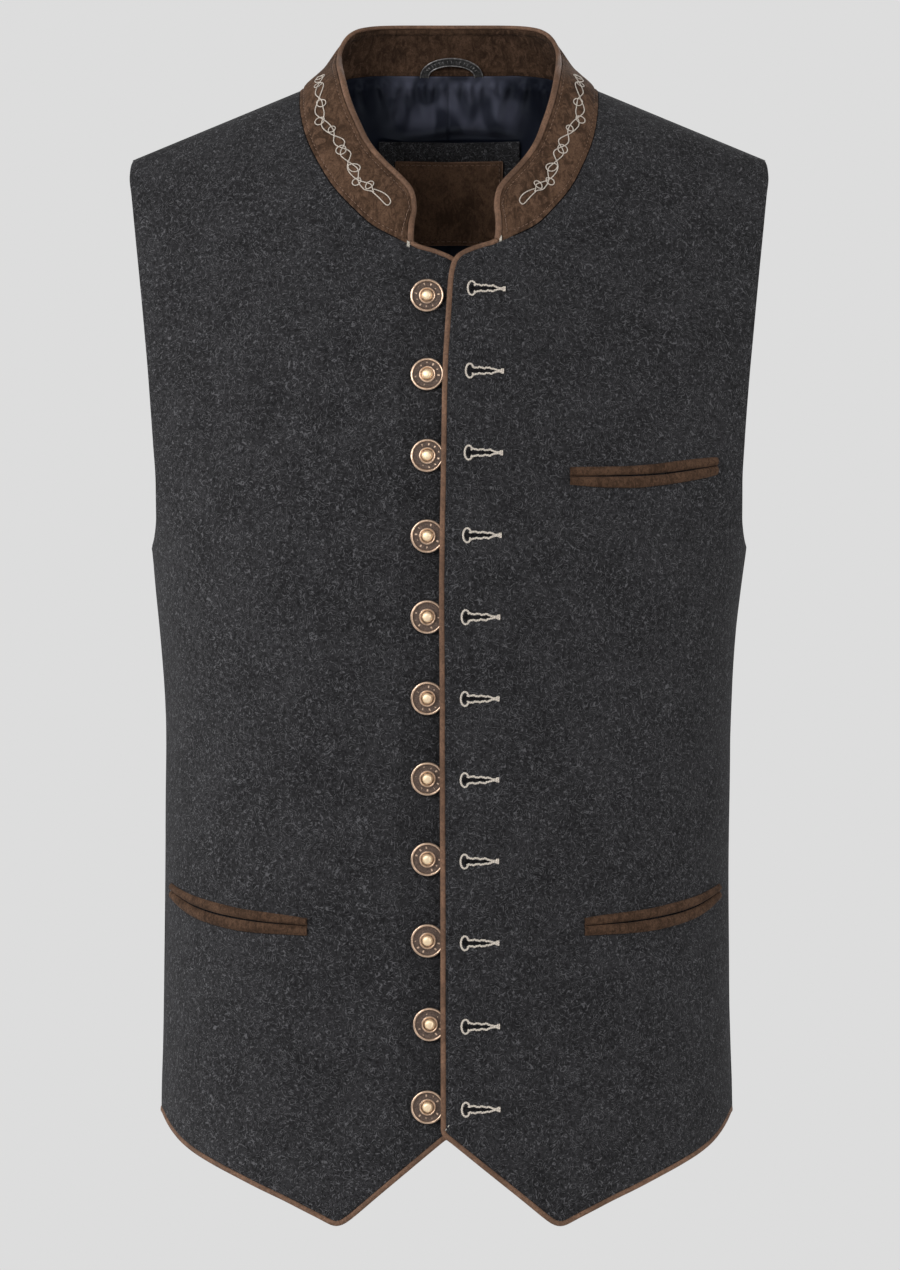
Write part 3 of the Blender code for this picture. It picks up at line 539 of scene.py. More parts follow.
def on_collar(share, up, lift=0.0):
    """Points of the collar: share runs from -1 to 1 round the neck, up from seam to piping."""
    share, up = np.broadcast_arrays(np.asarray(share, dtype=float), np.asarray(up, dtype=float))
    lift = np.broadcast_to(np.asarray(lift, dtype=float), share.shape)
    point = np.zeros(share.shape + (3,))
    for sign in (1, -1):
        pick = share >= 0 if sign > 0 else share < 0
        if not pick.any():
            continue
        size, high = np.abs(share[pick]), up[pick]
        low = spaced(SEAM_LINES[sign], size)
        shift = sign * read(RIM, "shift", size)
        top = np.stack([read(RIM, "x", size) + shift, read(RIM, "y", size), read(RIM, "z", size)],
                       axis=-1)
        here = low + (top - low) * high[:, None]
        bulge = 0.0012 * np.sin(math.pi * np.clip(high, 0.0, 1.0))
        out = unit(here * np.array([1.0, 0.8, 0.0]))
        here = here + (out + np.array([0.0, 0.0, 0.5])) * bulge[:, None]
        drawn_in = FOOT_DRAWN_IN[sign] * (1 - high) * blend(0.9, 1.0, size)
        here = here - drawn_in[:, None] * np.array([1.0, 0.0, 0.45])
        if sign > 0:
            raised = on_wool("front", low[:, 0], low[:, 2], lapped=True)[0]
            raised = raised - on_wool("front", low[:, 0], low[:, 2])[0]
            here = here + np.where((low[:, 1] < 0)[:, None], raised, 0.0)
        here[:, 0] *= sign
        point[pick] = here
    if np.any(lift != 0.0):
        point = point + collar_out(share, up) * lift[..., None]
    return point


def collar_out(share, up):
    """Outward directions of the collar's face."""
    step_s = np.where(share > 0.99, -0.004, 0.004)
    along = (on_collar(share + step_s, up) - on_collar(share, up)) * np.sign(step_s)[..., None]
    rise = on_collar(share, up + 0.02) - on_collar(share, up - 0.02)
    out = np.cross(rise, along)
    return unit(out)


def collar_length(share):
    """How tall the collar stands between its seam and its piping."""
    return np.linalg.norm(on_collar(share, 1.0) - on_collar(share, 0.0), axis=-1)


def puff(share, up):
    """The collar's padding: a low swell, pulled in where the two rows of stitches run."""
    tall = collar_length(share)
    low = up * tall
    nearest = np.minimum((1.0 - up) * tall, (1.0 - np.abs(share)) * COLLAR_HALF)
    swell = 0.0007 * blend(0.001, 0.009, np.minimum(low, nearest))
    groove = (np.exp(-((nearest - TOP_ROW) / 0.0009) ** 2)
              + np.exp(-((low - FOOT_ROW) / 0.0009) ** 2))
    return swell - 0.0006 * np.minimum(groove, 1.0)


def collar_face(share, up, lift=0.0):
    """Points on the collar's padded outer face, moved outwards by lift."""
    share, up = np.broadcast_arrays(np.asarray(share, dtype=float), np.asarray(up, dtype=float))
    return on_collar(share, up, puff(share, up) + lift)


def ripple(x, z):
    """Low waves in the wool, which fade out at the neck and under the shoulder."""
    wave = np.sin(23.0 * x + 9.0 * z + 0.7) + 0.7 * np.sin(-31.0 * x + 17.0 * z + 2.1)
    wave = wave + 0.6 * np.sin(47.0 * z + 12.0 * x)
    return 0.00032 * wave * blend(-0.1, -0.22, z)


def on_front(x, z, lift=0.0, side="left"):
    """Points on a front's waved wool and their outward directions; x starts at the middle."""
    lapped, turn = side == "left", 1.0 if side == "left" else -1.0
    lift = lift + ripple(np.asarray(x) * turn, z)
    return on_wool("front", x, z, lift, lapped, not lapped)


def rim(edge, inside, by):
    """A line that runs beside an edge, outside the cloth and at one distance from it."""
    away = edge - inside
    step = unit(np.diff(edge, axis=0))
    facings = []
    for along in (np.vstack([step[:1], step]), np.vstack([step, step[-1:]])):
        facing = away - along * np.sum(away * along, axis=1, keepdims=True)
        facings.append(unit(facing))
    first, last = facings
    return edge + (first + last) * (by / (1 + np.sum(first * last, axis=1, keepdims=True)))


def inset(rows, by):
    """A line through rows of points, at one distance in from the first point of each row."""
    return np.array([at_lengths(row, along_line(row), by) for row in rows])


def evenly(line, step):
    """The same line with points at even steps; further columns are carried along."""
    lengths = along_line(line)
    want = np.linspace(0.0, lengths[-1], max(2, int(round(lengths[-1] / step)) + 1))
    return at_lengths(line, lengths, want)


def calmer(line, times):
    """A line with its small corners rounded off."""
    for _ in range(times):
        line = np.vstack([line[:1], (line[:-2] + 2 * line[1:-1] + line[2:]) / 4, line[-1:]])
    return line


def mesh_from(work, name):
    mesh = bpy.data.meshes.new(name)
    work.to_mesh(mesh)
    work.free()
    return mesh


def show(name, mesh, finishes):
    """Puts a mesh in the scene, on the vest's one body, with the finishes of these names."""
    made = bpy.data.objects.new(name, mesh)
    bpy.context.scene.collection.objects.link(made)
    for each in finishes:
        mesh.materials.append(finish(each))
    mesh.shade_smooth()
    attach(made, "root")
    return made


def laid_grid(work, points):
    """Adds a grid laid onto rows of points to a bmesh; returns its vertices, row by row."""
    up, across = points.shape[:2]
    made = bmesh.ops.create_grid(work, x_segments=across - 1, y_segments=up - 1, size=1.0)["verts"]
    for vert, point in zip(made, points.reshape(-1, 3)):
        vert.co = point
    return made


def cloth(name, points, wall, finishes, edge=0.0006, inside=False):
    """A sheet with a wall and softly rounded edges, laid on rows of points that face outwards."""
    work = bmesh.new()
    laid_grid(work, points)
    made = show(name, mesh_from(work, name), finishes)
    shell = made.modifiers.new("wall", "SOLIDIFY")
    shell.thickness = wall
    shell.offset = 0.0
    if inside:
        shell.material_offset = 1
    soft = made.modifiers.new("soft_edge", "BEVEL")
    soft.width = edge
    soft.segments = 2
    soft.limit_method = "ANGLE"
    soft.angle_limit = math.radians(50)
    return made


def sleeve(work, line, radius, sides, outs=None, flat=1.0):
    """Adds a tube round a line to a bmesh: a grid rolled up and merged, with UVs in metres."""
    count = len(line)
    along = unit(np.gradient(line, axis=0))
    if outs is None:
        up = np.cross(along[0], (0.31, 0.42, 0.85))
        ups = []
        for direction in along:
            up = unit(up - direction * np.dot(up, direction))
            ups.append(up)
        ups = np.array(ups)
    else:
        ups = unit(outs - along * np.sum(outs * along, axis=1, keepdims=True))
    beside_it = np.cross(along, ups)
    turn = np.arange(sides + 1) * (-2 * math.pi / sides)
    size = np.broadcast_to(radius, count).astype(float)
    ring = (np.cos(turn)[None, :, None] * beside_it[:, None, :]
            + np.sin(turn)[None, :, None] * ups[:, None, :] * flat)
    points = line[:, None, :] + ring * size[:, None, None]
    verts = laid_grid(work, points)
    layer = work.loops.layers.uv.verify()
    lengths = along_line(line)
    place = {vert: k for k, vert in enumerate(verts)}
    for face in {face for vert in verts for face in vert.link_faces}:
        for loop in face.loops:
            row, column = divmod(place[loop.vert], sides + 1)
            loop[layer].uv = (lengths[row], column / sides)
    ends = [[verts[row * (sides + 1) + k] for k in range(sides)] for row in (0, count - 1)]
    work.faces.new(ends[0])
    work.faces.new(list(reversed(ends[1])))
    merged = {verts[row * (sides + 1) + sides]: verts[row * (sides + 1)] for row in range(count)}
    bmesh.ops.weld_verts(work, targetmap=merged)


def sleeves(name, lines, radius, sides, finished, outs=None, flat=1.0):
    """One piece of many tubes: piping, cords or threads."""
    work = bmesh.new()
    for k, line in enumerate(lines):
        width = radius[k] if isinstance(radius, list) else radius
        sleeve(work, line, width, sides, None if outs is None else outs[k], flat)
    return facing_out(name, work, finished)


def facing_out(name, work, finished):
    """Shows what a bmesh holds as one piece, with its faces turned outwards."""
    bmesh.ops.recalc_face_normals(work, faces=work.faces)
    return show(name, mesh_from(work, name), [finished])


FINE_THREAD = 0.00022
SUEDE_THREAD = 0.00024
STITCH_GAP = 0.0007
STITCH_JITTER = 0.1
STITCH_SLANT = 0.00012
STITCH_DIP = np.array([[1.0], [0.15], [0.0], [0.15], [1.0]]) * 0.0003


def stitch_lines(line, outs, long, gap):
    """Short curved lines along a line on cloth, whose ends dip under its face."""
    carried = evenly(np.hstack([line, outs]), 0.0004)
    lengths = along_line(carried)
    chance = random.Random(int(lengths[-1] * 1e5))
    made = []
    start = gap
    while start + long < lengths[-1]:
        wide = long * (1 + STITCH_JITTER * chance.uniform(-1, 1))
        spots = at_lengths(carried, lengths, start + np.linspace(0.0, wide, 5))
        point, out = spots[:, :3], spots[:, 3:]
        out = unit(out)
        side = unit(np.cross(point[-1] - point[0], out[2]))
        slant = np.linspace(-1, 1, 5)[:, None] * side * (STITCH_SLANT * chance.uniform(-1, 1))
        made.append(point - out * STITCH_DIP + slant)
        start += long + gap
    return made


class Shade:
    """A socket of a finish; Python expressions on it add their Math nodes."""

    def __init__(self, finish, socket):
        self.finish = finish
        self.socket = socket

    def math(self, operation, *values):
        return self.finish.node("Math", {"operation": operation}, dict(enumerate((self,) + values)))

    def flipped(self, operation, value):
        return self.finish.node("Math", {"operation": operation}, {0: value, 1: self})

    def __add__(self, other):
        return self.math("ADD", other)

    __radd__ = __add__

    def __sub__(self, other):
        return self.math("SUBTRACT", other)

    def __rsub__(self, other):
        return self.flipped("SUBTRACT", other)

    def __mul__(self, other):
        return self.math("MULTIPLY", other)

    __rmul__ = __mul__

    def __abs__(self):
        return self.math("ABSOLUTE")

    def most(self, other):
        return self.math("MAXIMUM", other)

    def step(self, low, high):
        """0 below low and 1 above high, eased between."""
        settings = {"interpolation_type": "SMOOTHSTEP"}
        return self.finish.node("MapRange", settings, {0: self, 1: low, 2: high})


class Finish:
    """A surface finish that is put together node by node."""

    def __init__(self, name):
        self.material = bpy.data.materials.new(name)
        self.material.use_nodes = True
        self.tree = self.material.node_tree
        self.shader = self.tree.nodes["Principled BSDF"]

    def node(self, kind, settings=None, inputs=None, output=0):
        """Any node: its settings first, then the values or links of its sockets."""
        made = self.tree.nodes.new("ShaderNode" + kind)
        for key, value in (settings or {}).items():
            setattr(made, key, value)
        for key, value in (inputs or {}).items():
            self.feed(made.inputs[key], value)
        return Shade(self, made.outputs[output])

    def feed(self, socket, value):
        if isinstance(value, Shade):
            self.tree.links.new(value.socket, socket)
        else:
            socket.default_value = value

    def where(self):
        return self.node("TexCoord", output=3)

    def chart(self):
        return self.node("TexCoord", output=2)

    def axes(self, vector):
        made = self.tree.nodes.new("ShaderNodeSeparateXYZ")
        self.feed(made.inputs[0], vector)
        return [Shade(self, made.outputs[k]) for k in range(3)]

    def vector(self, operation, first, second, output=0):
        return self.node("VectorMath", {"operation": operation}, {0: first, 1: second}, output)

    def noise(self, at, scale, detail=2.0, rough=0.5, warp=0.0, colour=False):
        inputs = {"Vector": at, "Scale": scale, "Detail": detail, "Roughness": rough,
                  "Distortion": warp}
        return self.node("TexNoise", {}, inputs, 1 if colour else 0)

    def mix(self, factor, first, second):
        return self.node("Mix", {"data_type": "RGBA"}, {0: factor, 6: first, 7: second}, 2)

    def bumps(self, *pairs):
        """Bump nodes one over the other, from pairs of a height and its depth in metres."""
        normal = None
        for height, depth_of in pairs:
            inputs = {"Height": height, "Strength": 1.0, "Distance": depth_of}
            if normal is not None:
                inputs["Normal"] = normal
            normal = self.node("Bump", {}, inputs)
        return normal

    def fixed(self, **sockets):
        for name, value in sockets.items():
            self.shader.inputs[name.replace("_", " ")].default_value = value

    def surface(self, base, roughness, normal=None, **sockets):
        sockets.update(Base_Color=base, Roughness=roughness)
        if normal is not None:
            sockets["Normal"] = normal
        for name, value in sockets.items():
            self.feed(self.shader.inputs[name.replace("_", " ")], value)
        return self.material


def rgba(colour):
    return (*colour, 1.0)


def scaled(colour, by):
    return tuple(min(1.0, part * by) for part in colour) + (1.0,)


def felted_wool(colours):
    """Heathered felt: a dark ground with pale fibres that curl over it in short lengths."""
    f = Finish("felted_wool")
    at = f.where()
    swirl = f.noise(at, 420.0, 1.0, colour=True)
    bent = f.vector("ADD", at, f.vector("MULTIPLY", swirl, (0.0012, 0.0012, 0.0012)))
    fibres = None
    for scale, lines, mask_scale, shift in ((190.0, 7.0, 360.0, 0.0), (250.0, 6.0, 330.0, 3.7),
                                            (215.0, 6.5, 400.0, 7.9)):
        moved = f.vector("ADD", bent, (shift, shift * 0.6, shift * 0.3))
        band = (f.noise(moved, scale, 0.0) * lines).math("FRACT")
        line = 1 - abs(band - 0.5).step(0.02, 0.15)
        patch = f.noise(moved, mask_scale, 1.0).step(0.5, 0.62)
        strand = line * patch
        fibres = strand if fibres is None else fibres.most(strand)
    soft = f.noise(at, 38.0, 3.0, 0.6)
    fine = f.noise(at, 1100.0, 2.0, 0.7)
    blotch = f.noise(at, 620.0, 2.0, 0.6)
    base = f.mix(soft.step(0.3, 0.7), scaled(colours.wool, 0.76), scaled(colours.wool, 1.24))
    base = f.mix(blotch.step(0.46, 0.68) * 0.45, base, scaled(colours.wool, 1.9))
    base = f.mix(blotch.step(0.5, 0.32) * 0.75, base, scaled(colours.wool, 0.3))
    base = f.mix(fine.step(0.5, 0.3) * 0.4, base, scaled(colours.wool, 0.4))
    base = f.mix(fibres * 0.8, base, rgba(colours.wool_fibre))
    x, y, _ = f.axes(at)
    # painted shadow: the wool is darkened in a band beside the button line, as shade cast by the
    # lapped left front
    painted_lap_shadow = x.step(-0.0325, -0.0285) * (1 - x.step(-0.0045, 0.0)) * (1 - y.step(-0.05, -0.03))
    base = f.mix(painted_lap_shadow * 0.16, base, (0.0, 0.0, 0.0, 1.0))
    normal = f.bumps((blotch, 0.0006), (fine, 0.0003), (fibres, 0.00015))
    f.fixed(Sheen_Weight=0.03, Sheen_Roughness=0.6, Specular_IOR_Level=0.08)
    return f.surface(base, 0.95 - 0.06 * fibres, normal)


def napped(name, colour, worn, nap, closer):
    """Suede: a short nap, brushed lighter and darker in streaks and soft patches."""
    f = Finish(name)
    at = f.where()
    broad = f.noise(at, 42.0 * closer, 3.0, 0.62, 0.6)
    streak = f.noise(f.vector("MULTIPLY", at, (1.0, 1.0, 0.45)), 230.0 * closer, 3.0, 0.7, 1.2)
    grit = f.noise(at, 850.0, 3.0, 0.75)
    base = f.mix(broad.step(0.3, 0.72), scaled(colour, 0.5), scaled(colour, 1.25))
    base = f.mix(streak.step(0.46, 0.66) * 0.75, base, rgba(worn))
    base = f.mix(streak.step(0.48, 0.34) * 0.7, base, scaled(colour, 0.38))
    base = f.mix(grit.step(0.54, 0.34) * 0.6, base, scaled(colour, 0.35))
    normal = f.bumps((streak, 0.0007), (grit, nap))
    f.fixed(Sheen_Weight=0.02, Specular_IOR_Level=0.06)
    return f.surface(base, 0.92 - 0.12 * streak, normal)


def tan_leather(colours):
    """Rolled leather: creased grain, darker in the creases, polished on top."""
    f = Finish("tan_leather")
    at = f.where()
    broad = f.noise(at, 60.0, 3.0, 0.6)
    grain = f.noise(at, 620.0, 4.0, 0.65, 0.5)
    crease = f.node("TexVoronoi", {"feature": "DISTANCE_TO_EDGE"}, {"Vector": at, "Scale": 900.0})
    base = f.mix(broad.step(0.32, 0.68), scaled(colours.leather, 0.72),
                 scaled(colours.leather, 1.22))
    base = f.mix(grain.step(0.6, 0.38) * 0.6, base, scaled(colours.leather, 0.42))
    normal = f.bumps((grain, 0.0004), (crease.step(0.0, 0.22), 0.00006))
    f.fixed(Specular_IOR_Level=0.2)
    return f.surface(base, 0.55 + 0.22 * grain, normal)


def navy_satin(colours):
    """Satin: a dark ground with a fine twill, and a painted highlight at the nape broken up by
    painted fold shade.
    """
    f = Finish("navy_satin")
    at = f.where()
    across, _, up = f.axes(at)
    threads = (across * 9000.0 + up * 2600.0).math("SINE")
    wear = f.noise(at, 90.0, 2.0)
    # painted fold shade: soft light and dark patches in the colour stand in for light on folds
    painted_fold_shade = f.noise(f.vector("MULTIPLY", at, (1.0, 1.0, 0.4)), 62.0, 1.0, 0.5, 0.4).step(0.36, 0.6)
    # painted highlight: the satin is paler in a band at the nape, where light falls on it
    nape = (1 - abs(across - 0.003).step(0.028, 0.052)) * up.step(-0.02, -0.007)
    pale = (colours.satin[0] * 5.6, colours.satin[1] * 4.8, colours.satin[2] * 3.7, 1.0)
    base = f.mix(wear, scaled(colours.satin, 0.35), scaled(colours.satin, 0.65))
    base = f.mix(nape * (0.18 + 0.82 * painted_fold_shade), base, pale)
    f.fixed(Specular_IOR_Level=0.34, Specular_Tint=(0.72, 0.82, 1.0, 1.0))
    return f.surface(base, 0.34 + 0.08 * wear, f.bumps((threads, 0.000008)))


def aged_copper(colours):
    """Worn copper: bright where it is rubbed, brown in fine pits and scratches."""
    f = Finish("aged_copper")
    at = f.where()
    spots = f.noise(at, 700.0, 2.0, 0.6)
    cloud = f.noise(at, 240.0, 2.0, 0.6)
    base = f.mix(cloud.step(0.35, 0.7) * 0.7, rgba(colours.copper), scaled(colours.copper, 0.7))
    tarnish = spots.step(0.5, 0.32)
    base = f.mix(tarnish * 0.35, base, scaled(colours.tarnish, 3.5))
    f.fixed(Metallic=1.0)
    return f.surface(base, 0.3 + 0.25 * tarnish, f.bumps((spots, 0.00005)))


def polished_dome(colours):
    """The rubbed middle of a button: pale copper with hardly a mark."""
    f = Finish("polished_dome")
    cloud = f.noise(f.where(), 500.0, 2.0)
    base = f.mix(cloud.step(0.4, 0.75) * 0.5, (1.0, 0.8, 0.54, 1.0), scaled(colours.copper, 1.2))
    f.fixed(Metallic=0.85)
    return f.surface(base, 0.46 + 0.1 * cloud, f.bumps((cloud, 0.00002)))


def deep_copper(colours):
    """The hollow round a button's dome: copper that no hand rubs."""
    f = Finish("deep_copper")
    cloud = f.noise(f.where(), 600.0, 2.0)
    base = f.mix(cloud.step(0.35, 0.65), scaled(colours.copper, 0.34), scaled(colours.copper, 0.6))
    f.fixed(Metallic=1.0)
    return f.surface(base, 0.36 + 0.1 * cloud, f.bumps((cloud, 0.00003)))


def dark_ring(colours):
    """The recessed ring: sandy dark metal with a few small raised ticks that are rubbed pale."""
    f = Finish("dark_ring")
    turn, size, _ = f.axes(f.chart())
    at = f.where()
    sand = f.noise(at, 1500.0, 3.0, 0.8)
    beat = (turn * 11.0).math("FRACT")
    chosen = f.noise(at, 330.0, 0.0)
    tick = (1 - abs(beat - 0.5).step(0.07, 0.16)) * (1 - abs(size - 0.66).step(0.04, 0.09))
    tick = tick * chosen.step(0.46, 0.56)
    base = f.mix(sand.step(0.35, 0.65), scaled(colours.tarnish, 0.9), scaled(colours.tarnish, 2.6))
    base = f.mix(tick * 0.85, base, scaled(colours.copper, 0.95))
    normal = f.bumps((sand, 0.00025), (tick, 0.0002))
    metal = 0.3 + 0.6 * tick
    return f.surface(base, 0.66 - 0.25 * tick, normal, Metallic=metal)


def twisted(name, colour, turns):
    """Thread: plies that wind round it, from the tube's own UV map, with painted shade in the
    grooves between them.
    """
    f = Finish(name)
    run, round_it, _ = f.axes(f.chart())
    ply = ((run * turns + round_it * 2.0) * (2 * math.pi)).math("SINE")
    shade = f.noise(f.where(), 420.0, 2.0)
    # painted shade: the colour darkens in the grooves between the plies
    base = f.mix(ply.step(-0.9, 0.1), scaled(colour, 0.62), rgba(colour))
    base = f.mix(shade.step(0.62, 0.34) * 0.35, base, scaled(colour, 0.7))
    f.fixed(Sheen_Weight=0.15)
    return f.surface(base, 0.72 + 0.1 * shade, f.bumps((ply, 0.00022)))


def shadowed_slit(colours):
    """The inside of a cut: wool fibres in the dark."""
    f = Finish("shadowed_slit")
    fuzz = f.noise(f.where(), 1300.0, 2.0)
    base = f.mix(fuzz.step(0.35, 0.65), scaled(colours.wool, 0.1), scaled(colours.wool, 0.95))
    f.fixed(Specular_IOR_Level=0.0)
    return f.surface(base, 0.97 - 0.05 * fuzz, f.bumps((fuzz, 0.0003)))


def gunmetal(name, low, high):
    """Dark antiqued metal, rubbed paler in places."""
    f = Finish(name)
    rub = f.noise(f.where(), 500.0, 2.0, 0.6)
    base = f.mix(rub.step(0.4, 0.7), (low, low * 0.97, low * 0.96, 1.0),
                 (high, high * 0.97, high * 0.95, 1.0))
    f.fixed(Metallic=0.85)
    return f.surface(base, 0.5 - 0.15 * rub, f.bumps((rub, 0.00006)))


# name: the colours of the ground and of the brushed nap, with what scales them; nap; closeness
SUEDES = {
    "collar_suede": ("suede", 1.0, "suede_worn", 1.0, 0.0004, 1.0),
    # the collar's inner face: the collar suede darkened as painted shade
    "facing_suede": ("suede", 0.66, "suede_worn", 0.66, 0.0004, 1.0),
    "pocket_suede": ("suede", 0.93, "suede", 1.16, 0.0004, 2.2),
    "patch_suede": ("suede", 1.25, "suede", 1.55, 0.0002, 1.0),
}
# name: the colour, what scales it and the turns in a metre
THREADS = {
    "cream_thread": ("thread", 1.12, 620.0), "dark_thread": ("wool", 0.8, 900.0),
    "brown_thread": ("leather", 1.8, 900.0), "pale_thread": ("thread", 1.4, 900.0),
}
GUNMETALS = {"dark_metal": (0.05, 0.115), "rubbed_metal": (0.16, 0.36)}
MAKERS = {make.__name__: make for make in (
    felted_wool, tan_leather, navy_satin, aged_copper, polished_dome, dark_ring, deep_copper,
    shadowed_slit)}


def finish(name):
    """A finish by its name, made when a piece first asks for it."""
    made, colours = bpy.data.materials.get(name), bpy.context.scene.vest_colours
    if made is None and name in SUEDES:
        ground, by, worn, worn_by, nap, closer = SUEDES[name]
        ground, worn = scaled(getattr(colours, ground), by), scaled(getattr(colours, worn), worn_by)
        made = napped(name, ground[:3], worn[:3], nap, closer)
    elif made is None and name in THREADS:
        colour, by, turns = THREADS[name]
        made = twisted(name, scaled(getattr(colours, colour), by)[:3], turns)
    elif made is None and name in GUNMETALS:
        made = gunmetal(name, *GUNMETALS[name])
    elif made is None:
        made = MAKERS[name](colours)
    return made


class VestSizes(bpy.types.PropertyGroup):
    wool_wall: FloatProperty(
        name="Wool thickness", description="Thickness of the felted wool", default=0.002,
        min=0.001, max=0.004, precision=4, unit="LENGTH")
    collar_wall: FloatProperty(
        name="Collar thickness", description="Thickness of the collar with its facing",
        default=0.0025, min=0.001, max=0.004, precision=4, unit="LENGTH")
    lining_wall: FloatProperty(
        name="Lining thickness", description="Thickness of the satin lining", default=0.001,
        min=0.0005, max=0.002, precision=4, unit="LENGTH")
    embroidery_thread: FloatProperty(
        name="Embroidery thread", description="Thickness of the collar's embroidery cord",
        default=0.00069, min=0.0005, max=0.002, precision=4, unit="LENGTH")
    buttonhole_thread: FloatProperty(
        name="Buttonhole thread", description="Thickness of the buttonholes' edging",
        default=0.0012, min=0.0005, max=0.002, precision=4, unit="LENGTH")
    stitch_length: FloatProperty(
        name="Stitch length", description="Length of a topstitch", default=0.0026, min=0.001,
        max=0.006, precision=4, unit="LENGTH")
    button_parts: IntProperty(
        name="Button segments", description="Segments round each button", default=48, min=16,
        max=96)
    lining_fold: FloatProperty(
        name="Lining fold", description="Height of the satin's gathers under the neck seam",
        default=0.0011, min=0.0, max=0.0014, precision=4, unit="LENGTH")


class VestColours(bpy.types.PropertyGroup):
    wool: FloatVectorProperty(
        name="Wool", description="Ground colour of the felted wool", subtype="COLOR", size=3,
        min=0.0, max=1.0, default=(0.021, 0.0207, 0.0222))
    wool_fibre: FloatVectorProperty(
        name="Wool fibres", description="Pale fibres in the wool", subtype="COLOR", size=3,
        min=0.0, max=1.0, default=(0.118, 0.117, 0.124))
    suede: FloatVectorProperty(
        name="Suede", description="Brown suede of the collar", subtype="COLOR", size=3,
        min=0.0, max=1.0, default=(0.092, 0.052, 0.032))
    suede_worn: FloatVectorProperty(
        name="Brushed suede", description="Suede where its nap is brushed pale", subtype="COLOR",
        size=3, min=0.0, max=1.0, default=(0.145, 0.084, 0.054))
    leather: FloatVectorProperty(
        name="Leather", description="Tan leather of the piping", subtype="COLOR", size=3,
        min=0.0, max=1.0, default=(0.182, 0.102, 0.064))
    satin: FloatVectorProperty(
        name="Satin", description="Navy satin of the lining", subtype="COLOR", size=3,
        min=0.0, max=1.0, default=(0.013, 0.016, 0.029))
    thread: FloatVectorProperty(
        name="Cream thread", description="Thread of the embroidery and buttonholes",
        subtype="COLOR", size=3, min=0.0, max=1.0, default=(0.75, 0.67, 0.58))
    copper: FloatVectorProperty(
        name="Copper", description="Rubbed metal of the buttons", subtype="COLOR", size=3,
        min=0.0, max=1.0, default=(0.78, 0.57, 0.42))
    tarnish: FloatVectorProperty(
        name="Tarnish", description="Dark metal in the buttons' recesses", subtype="COLOR",
        size=3, min=0.0, max=1.0, default=(0.056, 0.037, 0.028))


def front_panel(side):
    """A front's grid of points with their outward directions, as six columns."""
    if side not in MADE:
        x, z = front_grid(side, FRONT_UP, 5)
        point, out = on_front(x, z, 0.0, side)
        point[..., 1] -= PANEL_GAP
        MADE[side] = np.concatenate([point, out], axis=-1)
    return MADE[side]


def back_panel():
    x, z = back_grid(5, 5)
    point, out = on_wool("back", x, z)
    point[..., 1] += PANEL_GAP
    return np.concatenate([point, out], axis=-1)


def collar_panel():
    """The collar's grid of points, from the wearer's right end to the left one, seam first."""
    if "collar" not in MADE:
        share = np.linspace(-1.0, 1.0, COLLAR_COLUMNS)
        tall = collar_length(share)
        low, high = 0.0008 / tall, 1 - (COLLAR_RADIUS + 0.00005) / tall
        steps = np.linspace(0.0, 1.0, 51)[:, None]
        up = low[None, :] + (high - low)[None, :] * steps
        wide = np.broadcast_to(share[None, :], up.shape)
        point = collar_face(wide, up)
        reach_in = COLLAR_RADIUS + 0.0001
        ends = ((0, 1, range(END_COLUMNS)), (-1, -2, range(-1, -END_COLUMNS - 1, -1)))
        for end, near, parts in ends:
            inward = unit((point[:, near] - point[:, end]) * np.array([1.0, 1.0, 0.0]))
            for k, column in enumerate(parts):
                point[:, column] += inward * reach_in * (1 - k / END_COLUMNS)
        MADE["collar"] = point
    return MADE["collar"]


class VEST_OT_wool(bpy.types.Operator):
    """Two fronts and the back of felted wool"""

    bl_idname = "vest.wool"
    bl_label = "Wool Panels"

    def execute(self, context):
        sizes = context.scene.vest_sizes
        left = front_panel("left")[:, ::-1, :3]
        right = front_panel("right")[..., :3]
        for name, points, node in (("front_left_wool", left, "front_left"),
                                   ("front_right_wool", right, "front_right")):
            made = cloth(name, points, sizes.wool_wall, ["felted_wool", "navy_satin"],
                         inside=True)
            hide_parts(node)
        made = cloth("back_wool", back_panel()[..., :3], sizes.wool_wall, ["felted_wool"])
        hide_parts("back")
        seams = [evenly(panel[0], 0.002) for panel in (left[:, ::-1], right)]
        sleeves("shoulder_seams", seams, sizes.wool_wall / 2 + 0.0003, 12, "felted_wool")
        return {"FINISHED"}


class VEST_OT_collar(bpy.types.Operator):
    """The suede stand collar, padded between its rows of stitches"""

    bl_idname = "vest.collar"
    bl_label = "Collar"

    def execute(self, context):
        sizes = context.scene.vest_sizes
        # the collar's inner face takes the suede darkened as painted shade
        made = cloth("collar_suede", collar_panel()[:, ::-1], sizes.collar_wall,
                     ["collar_suede", "facing_suede"], inside=True)
        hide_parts("collar")
        share = np.linspace(-0.995, 0.995, 400)
        seam = evenly(on_collar(share, 0.0004 / collar_length(share)), TUBE_STEP)
        sleeves("collar_seam", [seam], 0.0008, 8, "shadowed_slit")
        return {"FINISHED"}


